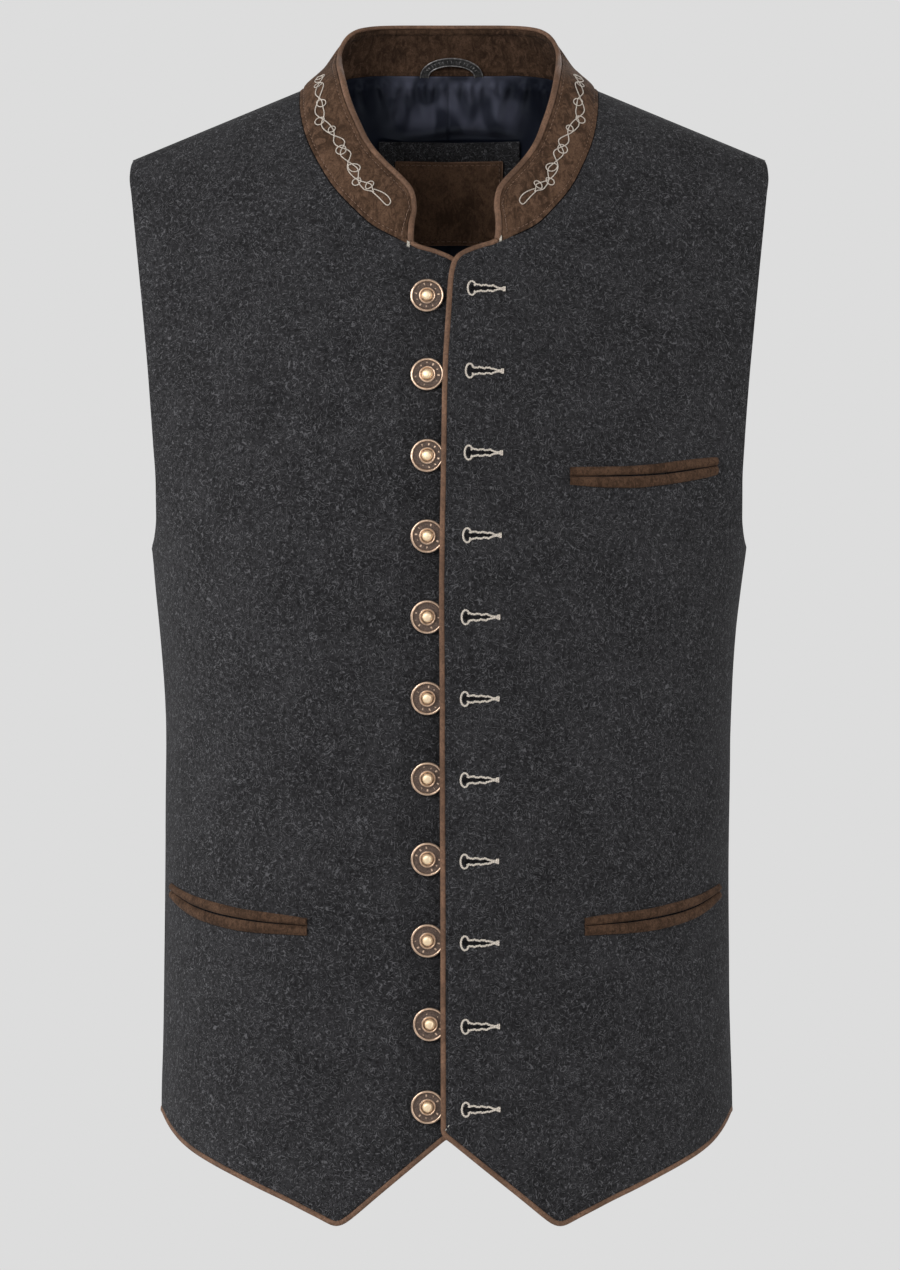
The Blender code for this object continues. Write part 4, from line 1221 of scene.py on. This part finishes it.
class VEST_OT_piping(bpy.types.Operator):
    """Leather piping round the collar, down the front edge and along the hems"""

    bl_idname = "vest.piping"
    bl_label = "Piping"

    def execute(self, context):
        rows = list(collar_panel())
        edge = np.array([r[0] for r in rows[:-1]] + list(rows[-1]) + [r[-1] for r in rows[-2::-1]])
        top = [rows[-2][1]] + list(rows[-2][1:-1]) + [rows[-2][-2]]
        inside = np.array([r[1] for r in rows[:-1]] + top + [r[-2] for r in rows[-2::-1]])
        outer, inner = rim(edge, inside, COLLAR_RADIUS + 0.00005), rim(edge, inside, 0.00135)
        line = evenly(np.hstack([outer, inner]), TUBE_STEP)
        slim = blend(-0.01, 0.03, line[:, 1])
        line = calmer(line[:, :3] + (line[:, 3:] - line[:, :3]) * slim[:, None], 2)
        made = sleeves("collar_piping", [line], [COLLAR_RADIUS - 0.0007 * slim], TUBE_SIDES,
                       "tan_leather")
        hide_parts("piping_collar")
        left, right = front_panel("left")[..., :3], front_panel("right")[..., :3]
        rows = left[NECK_ROW:]
        edge = np.vstack([rows[:, 0], left[-1, 1:]])
        inside = np.vstack([rows[:, 1], left[-2, 1:]])
        inside[len(rows) - 1] = left[-2, 1]
        line = rim(edge, inside, EDGE_RADIUS - SUNK)
        self.lay("front_left_piping", line, EDGE_RADIUS + 0.0001, "piping_front_left", 2)
        rows = right[NECK_ROW:]
        rows = rows[(rows[:, 0, 0] < 0.006) & (rows[:, 0, 2] > -0.115)]
        line = rim(rows[:, 0], rows[:, 1], EDGE_RADIUS - SUNK)
        self.lay("neck_right_piping", line, EDGE_RADIUS, "piping_neck_right", 1)
        first = int(np.argmax(right[-1, :, 0] < 0.003))
        line = rim(right[-1, first:], right[-2, first:], EDGE_RADIUS - SUNK)
        self.lay("hem_right_piping", line, EDGE_RADIUS + 0.0001, "piping_hem_right")
        return {"FINISHED"}

    def lay(self, name, line, radius, node, hidden=0):
        line = calmer(evenly(line, TUBE_STEP)[hidden:], 2)
        made = sleeves(name, [line], radius, TUBE_SIDES, "tan_leather")
        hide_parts(node)


class VEST_OT_pockets(bpy.types.Operator):
    """Double suede welts of the chest pocket and the two hip pockets"""

    bl_idname = "vest.pockets"
    bl_label = "Pocket Welts"

    def execute(self, context):
        slits = bmesh.new()
        for label, table, shift, side in (("chest", CHEST_WELT, 0.0, "left"),
                                          ("hip_left", HIP_WELT, HIP_SHIFT, "left"),
                                          ("hip_right", HIP_WELT, -HIP_SHIFT, "right")):
            wide = half("front", table[0].upper)
            first, last = WELT_TRIM.get(label, (0.0, 0.0))
            start = np.arcsin((table[0].x + first) / wide)
            end = np.arcsin((table[-1].x + last) / wide)
            x = wide * np.sin(np.linspace(start, end, WELT_STATIONS))
            slit = read(table, "slit", x)
            along = np.linspace(0.0, 1.0, WELT_STATIONS)
            gap = SLIT_HALF * (0.55 + 0.75 * np.sin(math.pi * along) ** 0.7)
            for part, high, low in (("upper", read(table, "upper", x), slit + gap),
                                    ("lower", slit - gap, read(table, "lower", x))):
                t = np.linspace(0.0, 1.0, 9)[:, None]
                z = high[None, :] + (low - high)[None, :] * t
                sway = sway_at(z) * (-1 if side == "left" else 1)
                lift = WELT_LIFT + 0.0015 * np.sin(math.pi * t) ** 0.8 - 0.0012
                point, _ = on_front(x[None, :] + shift + sway, z, lift, side)
                if side == "left":
                    point = point[:, ::-1]
                made = cloth("pocket_%s_%s" % (label, part), point, WELT_WALL, ["pocket_suede"],
                             0.0005)
                name = "welt_%s_%s" % (label, part)
                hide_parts(name)
            t = np.linspace(-1.0, 1.0, 3)[:, None]
            z = slit[None, :] + t * 0.001
            sway = sway_at(z) * (-1 if side == "left" else 1)
            point, _ = on_front(x[None, :] + shift + sway, z, SLIT_LIFT, side)
            laid_grid(slits, point[:, ::-1] if side == "left" else point)
        facing_out("pocket_slits", slits, "shadowed_slit")
        return {"FINISHED"}


class VEST_OT_buttons(bpy.types.Operator):
    """Eleven turned metal buttons on the wearer's right front"""

    bl_idname = "vest.buttons"
    bl_label = "Buttons"

    def execute(self, context):
        work = bmesh.new()
        knots = [work.verts.new((radius, 0.0, height)) for radius, height in BUTTON]
        edges = [work.edges.new(pair) for pair in zip(knots, knots[1:])]
        bmesh.ops.spin(work, geom=knots + edges, cent=(0, 0, 0), axis=(0, 0, 1), dvec=(0, 0, 0),
                       angle=2 * math.pi, steps=context.scene.vest_sizes.button_parts,
                       use_merge=True, use_duplicate=False)
        bmesh.ops.remove_doubles(work, verts=work.verts, dist=0.00001)
        bmesh.ops.recalc_face_normals(work, faces=work.faces)
        layer = work.loops.layers.uv.verify()
        for face in work.faces:
            middle = face.calc_center_median()
            size = math.hypot(middle.x, middle.y)
            if middle.z > 0.001 and RING_EDGES[0] < size < RING_EDGES[1]:
                face.material_index = 1
            elif middle.z > 0.001 and size < HOLLOW_EDGE:
                face.material_index = 2 if size < DOME_EDGE else 3
            heading = math.atan2(middle.y, middle.x)
            for loop in face.loops:
                spot_at = loop.vert.co
                turn = math.atan2(spot_at.y, spot_at.x)
                turn += 2 * math.pi * round((heading - turn) / (2 * math.pi))
                radius = math.hypot(spot_at.x, spot_at.y)
                loop[layer].uv = (turn / (2 * math.pi) + 1.0, radius / 0.0102)
        pattern = mesh_from(work, "button")
        for number, height in enumerate(BUTTON_HEIGHTS, 1):
            aside, lower, facing = NUDGED.get(number, (0.0, 0.0, 0.0))
            x = -(BUTTON_X + 0.0004 + aside - float(sway_at(height)))
            lift = BUTTON_LIFT + 0.0012 * facing
            foot, out = on_front(np.array([x]), np.array([height - lower]), lift, "right")
            out = out + np.array([0.0, -facing, 0.0])
            place = Vector(out[0]).to_track_quat("Z", "Y").to_matrix().to_4x4()
            place.translation = Vector(foot[0])
            mesh = pattern.copy()
            mesh.transform(place @ Matrix.Rotation(number * 2.1, 4, "Z")
                           @ Matrix.Scale(BUTTON_SCALE, 4))
            made = show("metal_button_%02d" % number, mesh, BUTTON_FINISHES)
            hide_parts("button_%02d" % number)
        return {"FINISHED"}


def hole_lines(chance):
    """The threads of one buttonhole, flat, with its eye at the left: x runs along the cut."""
    turn = np.radians(np.linspace(28, 332, 40))
    eye = np.stack([-0.009 + 0.0024 * np.cos(turn), 0.0042 * np.sin(turn)], axis=1)
    lines = [eye]
    for sign in (1, -1):
        x = np.linspace(-0.0078, 0.0112, 56)
        bare = 0.002 - 0.0004 * blend(-0.007, 0.003, x) - 0.0013 * blend(0.003, 0.0085, x)
        bare = bare + 0.0005 * blend(0.0082, 0.0112, x)
        start = chance.uniform(0, 6)
        wave = 0.00026 * np.sin(x * 1300 + start) + 0.00014 * np.sin(x * 3100 + start)
        lines.append(np.stack([x, sign * (bare + wave * blend(0.008, 0.005, x))], axis=1))
    return lines


class VEST_OT_buttonholes(bpy.types.Operator):
    """Keyhole buttonholes, edged in cream thread, down the wearer's left front"""

    bl_idname = "vest.buttonholes"
    bl_label = "Buttonholes"

    def execute(self, context):
        sizes = context.scene.vest_sizes
        radius = sizes.buttonhole_thread / 2
        lines, outs, widths, slits = [], [], [], bmesh.new()
        chance = random.Random(11)
        for hole_x, hole_z in BUTTONHOLES:
            for flat in hole_lines(chance):
                x, z = hole_x + flat[:, 0], hole_z + flat[:, 1]
                x = x - sway_at(z)
                point, out = on_front(x, z, sizes.wool_wall / 2 + 0.0002 + radius * 0.5, "left")
                lines.append(point)
                outs.append(out)
                knots = 1 + 0.16 * np.sin(np.arange(len(flat)) * 2.1)
                if len(flat) == 56:
                    knots[-5:] += 0.5
                widths.append(radius * knots)
            along = np.linspace(-0.011, 0.007, 30)
            tall = 0.0021 * np.sqrt(np.clip(1 - ((along + 0.0088) / 0.0017) ** 2, 0, 1))
            narrow = 0.0009 - 0.0002 * blend(-0.007, 0.003, along)
            tall = np.maximum(tall, narrow * blend(0.007, 0.003, along) * (along > -0.0088))
            x = hole_x + along[None, :] + 0.0 * tall[None, :]
            z = hole_z + np.linspace(-1, 1, 5)[:, None] * (tall[None, :] + 0.00002)
            point, _ = on_front(x - sway_at(z), z, sizes.wool_wall / 2 + 0.0004, "left")
            laid_grid(slits, point[::-1, ::-1])
        sleeves("buttonhole_threads", lines, widths, 8, "cream_thread", outs, 0.8)
        facing_out("buttonhole_slits", slits, "shadowed_slit")
        return {"FINISHED"}


def vine_chart():
    """The vine's middle line on the collar: lengths against the share round the neck."""
    share = np.linspace(VINE_START, VINE_END, 200)
    line = on_collar(share, np.full(share.shape, 0.5))
    return share, along_line(line)


def on_vine(flat, side, lift):
    """Flat vine points, as lengths along and across, laid on one side of the collar."""
    share, lengths = vine_chart()
    at = np.interp(flat[:, 0], lengths, share)
    up = 0.5 + flat[:, 1] / collar_length(at)
    at = at * side
    return collar_face(at, up, lift), collar_out(at, up)


def vine_lines(length):
    """The embroidery as flat lines: two cords that wind round each other, and their loops."""
    s = np.linspace(0.0, length - 0.013, 260)
    drift = 0.0019 * np.sin(2 * math.pi * s / 0.056 + 0.4)
    part = 0.0028 * np.sin(2 * math.pi * s / 0.027 + 0.6 * np.sin(s * 95))
    part = part * blend(s[-1], s[-1] - 0.006, s)
    lines = [
        np.stack([s, drift + part + 0.0004 * np.sin(s * 520)], axis=1),
        np.stack([s, drift - 0.9 * part + 0.0004 * np.sin(s * 430 + 2)], axis=1),
    ]
    turn = np.linspace(0.0, 2 * math.pi, 30)
    for at, side, size, plump, tilt in VINE_LOOPS:
        at, size, plump = at * length / VINE_DRAWN, size * LOOP_SCALE, plump * LOOP_SCALE
        out = size * (1 - np.cos(turn)) / 2
        wide = plump * np.sin(turn) * np.sin(turn / 2) ** 0.3
        x = at + wide * math.cos(tilt) + out * math.sin(tilt)
        y = side * (out * math.cos(tilt) - wide * math.sin(tilt) - 0.0012)
        y = float(np.interp(at, s, drift)) + y
        lines.append(np.stack([x, y], axis=1))
    t = np.linspace(-1.0, 1.0, 80)
    start = float(s[-1]) - 0.0015
    x = start + (length - start) * (1 - np.abs(t) ** 2.4)
    y = float(drift[-1]) + 0.0025 * np.tanh(2.6 * t) * (0.35 + 0.65 * (1 - np.abs(t) ** 5))
    y = y + 0.0015 * np.sin(2.6 * (x - start) / (length - start))
    lines.append(np.stack([x, y], axis=1))
    return lines


class VEST_OT_embroidery(bpy.types.Operator):
    """A scrolling vine in cream cord on both sides of the collar"""

    bl_idname = "vest.embroidery"
    bl_label = "Embroidery"

    def execute(self, context):
        sizes = context.scene.vest_sizes
        radius = sizes.embroidery_thread / 2
        length = float(vine_chart()[1][-1])
        for side, name in ((-1, "vine_right"), (1, "vine_left")):
            lines, outs = [], []
            for flat in vine_lines(length):
                point, out = on_vine(evenly(flat, 0.0007), side,
                                     sizes.collar_wall / 2 + radius * 0.7)
                lines.append(point)
                outs.append(out)
            sleeves(name, lines, radius, 7, "cream_thread", outs, 0.85)
        return {"FINISHED"}


class VEST_OT_lining(bpy.types.Operator):
    """The satin back lining, gathered under the neck seam, with its centre seam"""

    bl_idname = "vest.lining"
    bl_label = "Lining"

    def execute(self, context):
        sizes = context.scene.vest_sizes
        x, z = back_grid(6, 8)
        middle = x.shape[1] // 2
        rows = list(range(39)) + list(range(39, x.shape[0], 3))
        columns = np.concatenate([np.arange(8, middle - 48),
                                  np.arange(middle - 48, middle + 48, 0.25),
                                  np.arange(middle + 48, 2 * middle - 7)])
        x, z = [np.array([np.interp(columns, np.arange(len(row)), row) for row in grid[rows]])
                for grid in (x, z)]
        below = np.clip(z[:1] - z, 0.0, 1.0)
        z[0] += 0.0013 * blend(NECK_POINT, NECK_POINT - 0.004, np.abs(x[0]))
        gather = np.zeros_like(x)
        for crease in LINING_CREASES:
            lean_x = x - crease.x - crease.lean * below
            wide = crease.width * (1 + below / 0.02)
            fade = np.exp(-(below / crease.length) ** 2)
            gather += crease.height * np.exp(-(lean_x / wide) ** 2) * fade
        middle = -0.0085 + 0.0022 * np.sin(x * 74 + 0.6)
        wide = np.where(z > middle, 0.0105, 0.0066)
        roll = 0.0046 * np.exp(-((z - middle) / wide) ** 2) * blend(0.052, 0.03, np.abs(x - 0.004))
        drag = np.abs(np.sin((x * 0.85 + 0.55 * np.sign(x + 0.001) * (z + 0.03)) * 95 + 0.4)) ** 1.5
        drag = drag * np.exp(-((z - 0.003) / 0.012) ** 2) * blend(0.075, 0.055, np.abs(x))
        fold = sizes.lining_fold * (1.5 * gather + 0.6 * drag) + roll + 0.0002
        seam = 0.0007 * np.exp(-((x + 0.0004) / 0.0007) ** 2)
        fold = np.maximum(fold * blend(0.0, 0.003, below), 0.0)
        lift = -(LINING_TOP + 0.0011 * blend(0.0, 0.005, below)) - fold
        point, _ = on_wool("back", x, z, lift + seam * blend(0.001, 0.004, below))
        point[..., 1] += PANEL_GAP
        made = cloth("lining_satin", point[:, ::-1], sizes.lining_wall, ["navy_satin"],
                     0.0003)
        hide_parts("back_lining")
        return {"FINISHED"}


BACKING_LIFT = -0.0058
PATCH_LIFT = -0.0076
PATCH_BOW = 0.00015


def inside_back(x, z, lift):
    """Points inside the back, in front of its lining, and their outward directions."""
    point, out = on_wool("back", x, z, lift)
    point[..., 1] += 0.00045
    return point, out


def inside_patch(width, top, bottom, lift):
    """Rows of points over a rectangle inside the back, which waves a little."""
    x, t = np.meshgrid(np.linspace(-width / 2, width / 2, 61), np.linspace(0.0, 1.0, 49))
    z = top + (bottom - top) * t
    return inside_back(x, z, lift - PATCH_BOW * np.sin(9 * x / width + 3 * t))[0][:, ::-1]


class VEST_OT_label(bpy.types.Operator):
    """The wool backing and the bare suede patch inside the neck"""

    bl_idname = "vest.label"
    bl_label = "Inner Patch"

    def execute(self, context):
        point = inside_patch(0.0935, -0.018, -0.0845, BACKING_LIFT)
        backing = cloth("neck_backing", point, 0.0014, ["felted_wool"], 0.0004)
        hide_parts("label_backing")
        point = inside_patch(0.072, -0.0298, -0.085, PATCH_LIFT)
        patch = cloth("neck_patch", point, 0.0012, ["patch_suede"], 0.0004)
        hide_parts("label_patch")
        border = evenly(self.around(0.0358, -0.03, -0.0848), 0.001)
        line, _ = inside_back(border[:, 0], border[:, 1], PATCH_LIFT - 0.0003)
        sleeves("patch_edge", [line], 0.00042, 6, "tan_leather")
        corners = self.around(0.0338, -0.032, -0.0826)
        route = np.concatenate([np.linspace(a, b, 60) for a, b in zip(corners, corners[1:])])
        line, out = inside_back(route[:, 0], route[:, 1], PATCH_LIFT - 0.0007)
        threads = stitch_lines(line, -out, 0.0024, 0.0011)
        sleeves("patch_stitches", threads, 0.0002, 5, "brown_thread")
        return {"FINISHED"}

    def around(self, wide, top, bottom):
        """A flat rectangle's outline, from its upper left corner and back to it."""
        return np.array([(-wide, top), (wide, top), (wide, bottom), (-wide, bottom), (-wide, top)])


class VEST_OT_hanger(bpy.types.Operator):
    """The arched hanger loop inside the collar, with beaded edges"""

    bl_idname = "vest.hanger"
    bl_label = "Hanger Loop"

    def execute(self, context):
        low, high = on_collar(np.array([0.0]), np.array([[0.0], [1.0]]))[..., :][:, 0]
        lean = math.atan2(low[1] - high[1], high[2] - low[2])
        inner = np.array([0.0, -math.cos(lean), -math.sin(lean)])
        rise = np.array([0.0, -math.sin(lean), math.cos(lean)])
        rest = low + inner * HANGER_OFF
        foot = np.array([0.0016, rest[1], rest[2] + 0.0005])
        turn = np.linspace(0.0, math.pi, 61)
        arches = {}
        for name, inset_by in (("outer", 0.0004), ("middle", 0.0029), ("inner", 0.0054)):
            wide, tall = HANGER_WIDTH / 2 - inset_by, HANGER_HEIGHT - inset_by
            flat = np.stack([-wide * np.cos(turn), tall * np.sin(turn) ** 0.92], axis=1)
            arches[name] = foot + flat[:, :1] * np.array([1.0, 0.0, 0.0]) + flat[:, 1:] * rise
        steps = np.linspace(0.0, 1.0, 7)[:, None, None]
        band = arches["outer"][None] + (arches["inner"] - arches["outer"])[None] * steps
        made = cloth("hanger_band", band, 0.0011, ["dark_metal"], 0.0003)
        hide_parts("hanger_loop")
        rails = [evenly(arches[name], 0.0005) + inner * 0.0005 for name in ("outer", "inner")]
        sleeves("hanger_rails", rails, 0.00042, 8, "rubbed_metal")
        ticks = []
        for k in range(9, 52, 3):
            across = arches["inner"][k] - arches["outer"][k]
            lean_by = (arches["middle"][k + 1] - arches["middle"][k]) * (0.4 if k % 2 else -0.3)
            ends = [arches["outer"][k] + across * share + lean_by * share
                    for share in (0.32, 0.5, 0.68)]
            ticks.append(np.array(ends) + inner * 0.0006)
        sleeves("hanger_ticks", ticks, 0.00022, 6, "rubbed_metal")
        return {"FINISHED"}


class VEST_OT_stitching(bpy.types.Operator):
    """Topstitches of the armholes, the collar and the front edge, and the bar tacks"""

    bl_idname = "vest.stitching"
    bl_label = "Stitching"

    def execute(self, context):
        sizes = context.scene.vest_sizes
        back, rows = back_panel(), []
        for panel in (front_panel("left")[:, ::-1], front_panel("right")[:, ::-1],
                      back[:, ::-1], back):
            arm = int(np.argmax(panel[:, 0, 2] < UNDERARM))
            rows.append((panel[:arm], ARMHOLE_INSET))
        rows.insert(1, (front_panel("left")[EDGE_ROW + 8:], EDGE_INSET))
        dark = []
        for grid, by in rows:
            line = calmer(inset(grid, by), 2)
            dark += self.seam(line, sizes.wool_wall / 2, sizes.stitch_length)
        sleeves("wool_topstitches", dark, FINE_THREAD, 5, "dark_thread")
        share = np.linspace(-0.978, 0.978, 700)
        share = np.concatenate([np.full(60, share[0]), share, np.full(60, share[-1])])
        tall = collar_length(share)
        up = 1 - TOP_ROW / tall
        up[:60] = np.linspace(0.1, up[60], 60)
        up[-60:] = np.linspace(up[-61], 0.1, 60)
        brown = self.collar_row(share, up, sizes)
        share = np.linspace(-0.97, 0.97, 700)
        brown += self.collar_row(share, FOOT_ROW / collar_length(share), sizes)
        share = np.linspace(-0.4, 0.4, 300)
        up = 1 - 0.005 / collar_length(share)
        point, out = on_collar(share, up), collar_out(share, up)
        inward = point - out * (sizes.collar_wall / 2 - 0.0002)
        inner = stitch_lines(inward, -out, sizes.stitch_length * 0.9, STITCH_GAP)
        sleeves("collar_inner_stitches", inner, SUEDE_THREAD, 5, "dark_thread")
        sleeves("collar_topstitches", brown, SUEDE_THREAD, 5, "brown_thread")
        self.tacks(sizes)
        return {"FINISHED"}

    def tacks(self, sizes):
        """The pale bar tacks at the collar's ends and at the foot of the left front's edge."""
        threads = []
        for side, low, high in ((-1, -0.1, 0.06), (1, -0.01, 0.15)):
            for k in range(3):
                wide = np.full(7, side * (0.9935 + 0.0022 * k))
                up = np.linspace(low, high - 0.03 * k * (side > 0), 7)
                point = collar_face(wide, up, sizes.collar_wall / 2)
                threads.append(point + collar_out(wide, up) * 0.0003)
        for x, z in ((0.001, -0.6318), (-0.0007, -0.6342)):
            t = np.linspace(-1.0, 1.0, 5)
            threads.append(
                on_front(x + 0.0004 * t, z + 0.0007 * t, sizes.wool_wall / 2 + 0.0002)[0])
        sleeves("collar_tacks", threads, 0.0003, 6, "pale_thread")

    def seam(self, line, lift, long):
        point, out = line[:, :3], line[:, 3:]
        out = unit(out)
        return stitch_lines(point + out * (lift + 0.00004), out, long, 0.0008)

    def collar_row(self, share, up, sizes):
        point = collar_face(share, up, sizes.collar_wall / 2 + 0.00005)
        out = collar_out(share, up)
        return stitch_lines(point, out, sizes.stitch_length * 0.9, STITCH_GAP)


FLOOR_RADIUS = 2.2
FLOOR_HEIGHT = -1.15
BACKDROP = (0.723, 0.723, 0.723)
AMBIENT = (0.22, 0.22, 0.224)
LENS = (145.1, 36.0)
CAMERA = (0.0006, -3.2, -0.3375)
LAMPS_AIM = (0.0, 0.0, -0.33)
LAMPS = (
    ("key", (-1.7, -2.6, 1.0), 65.0, 1.4), ("fill", (1.9, -2.6, 0.3), 28.5, 2.0),
    ("edge", (-2.2, 0.3, 0.2), 33.0, 1.4), ("edge_right", (2.2, 0.3, 0.2), 15.0, 1.4),
    ("top", (0.0, -1.9, 1.9), 1.0, 1.0), ("behind", (0.6, 2.6, 1.2), 40.0, 2.0),
)


class VEST_OT_stage(bpy.types.Operator):
    """The pale floor, the soft studio lights and the camera"""

    bl_idname = "vest.stage"
    bl_label = "Studio"

    def execute(self, context):
        scene = context.scene
        work = bmesh.new()
        bmesh.ops.create_circle(work, cap_ends=True, segments=96, radius=FLOOR_RADIUS)
        bmesh.ops.translate(work, verts=work.verts, vec=(0.0, 0.0, FLOOR_HEIGHT))
        mesh = mesh_from(work, "studio_floor")
        pale = Finish("plain_floor")
        cloud = pale.noise(pale.where(), 3.0, 2.0)
        tone = pale.mix(cloud, (0.7, 0.7, 0.7, 1.0), (0.74, 0.74, 0.74, 1.0))
        mesh.materials.append(pale.surface(tone, 0.9 - 0.05 * cloud))
        floor = bpy.data.objects.new("studio_floor", mesh)
        scene.collection.objects.link(floor)
        world = bpy.data.worlds.new("studio")
        world.use_nodes = True
        nodes, links = world.node_tree.nodes, world.node_tree.links
        seen, light = nodes["Background"], nodes.new("ShaderNodeBackground")
        seen.inputs["Color"].default_value = rgba(BACKDROP)
        light.inputs["Color"].default_value = rgba(AMBIENT)
        path, both = nodes.new("ShaderNodeLightPath"), nodes.new("ShaderNodeMixShader")
        links.new(path.outputs["Is Camera Ray"], both.inputs[0])
        links.new(light.outputs[0], both.inputs[1])
        links.new(seen.outputs[0], both.inputs[2])
        links.new(both.outputs[0], nodes["World Output"].inputs["Surface"])
        scene.world = world
        scene.view_settings.view_transform = "Standard"
        scene.view_settings.look = "None"
        for name, place, power, size in LAMPS:
            lamp = bpy.data.lights.new(name, "AREA")
            lamp.energy = power
            lamp.size = size
            made = bpy.data.objects.new(name, lamp)
            scene.collection.objects.link(made)
            made.location = place
            aim = Vector(LAMPS_AIM) - Vector(place)
            made.rotation_euler = aim.to_track_quat("-Z", "Y").to_euler()
        lens = bpy.data.cameras.new("camera")
        lens.lens, lens.sensor_width = LENS
        camera = bpy.data.objects.new("camera", lens)
        scene.collection.objects.link(camera)
        camera.location = CAMERA
        camera.rotation_euler = (math.pi / 2, 0.0, 0.0)
        scene.camera = camera
        return {"FINISHED"}


class VEST_PT_panel(bpy.types.Panel):
    """Sizes, colours and building steps of the vest"""

    bl_idname = "VEST_PT_panel"
    bl_label = "Folk Vest"
    bl_space_type = "VIEW_3D"
    bl_region_type = "UI"
    bl_category = "Folk Vest"

    def draw(self, context):
        layout = self.layout
        for group in (context.scene.vest_sizes, context.scene.vest_colours):
            box = layout.box()
            for name in group.bl_rna.properties.keys():
                if name not in ("rna_type", "name"):
                    box.prop(group, name)
        column = layout.column(align=True)
        for step in STEPS:
            column.operator(step.bl_idname)


STEPS = (
    VEST_OT_stage, VEST_OT_wool, VEST_OT_collar, VEST_OT_piping, VEST_OT_pockets,
    VEST_OT_buttons, VEST_OT_buttonholes, VEST_OT_embroidery, VEST_OT_lining, VEST_OT_label,
    VEST_OT_hanger, VEST_OT_stitching,
)
CLASSES = (VestSizes, VestColours) + STEPS + (VEST_PT_panel,)


def register():
    for item in CLASSES:
        bpy.utils.register_class(item)
    bpy.types.Scene.vest_sizes = PointerProperty(type=VestSizes)
    bpy.types.Scene.vest_colours = PointerProperty(type=VestColours)


def unregister():
    del bpy.types.Scene.vest_colours
    del bpy.types.Scene.vest_sizes
    for item in reversed(CLASSES):
        bpy.utils.unregister_class(item)


def main():
    register()
    bpy.ops.vest.stage()
    bpy.ops.vest.wool()
    bpy.ops.vest.collar()
    bpy.ops.vest.piping()
    bpy.ops.vest.pockets()
    bpy.ops.vest.buttons()
    bpy.ops.vest.buttonholes()
    bpy.ops.vest.embroidery()
    bpy.ops.vest.lining()
    bpy.ops.vest.label()
    bpy.ops.vest.hanger()
    bpy.ops.vest.stitching()


if __name__ == "__main__":
    main()
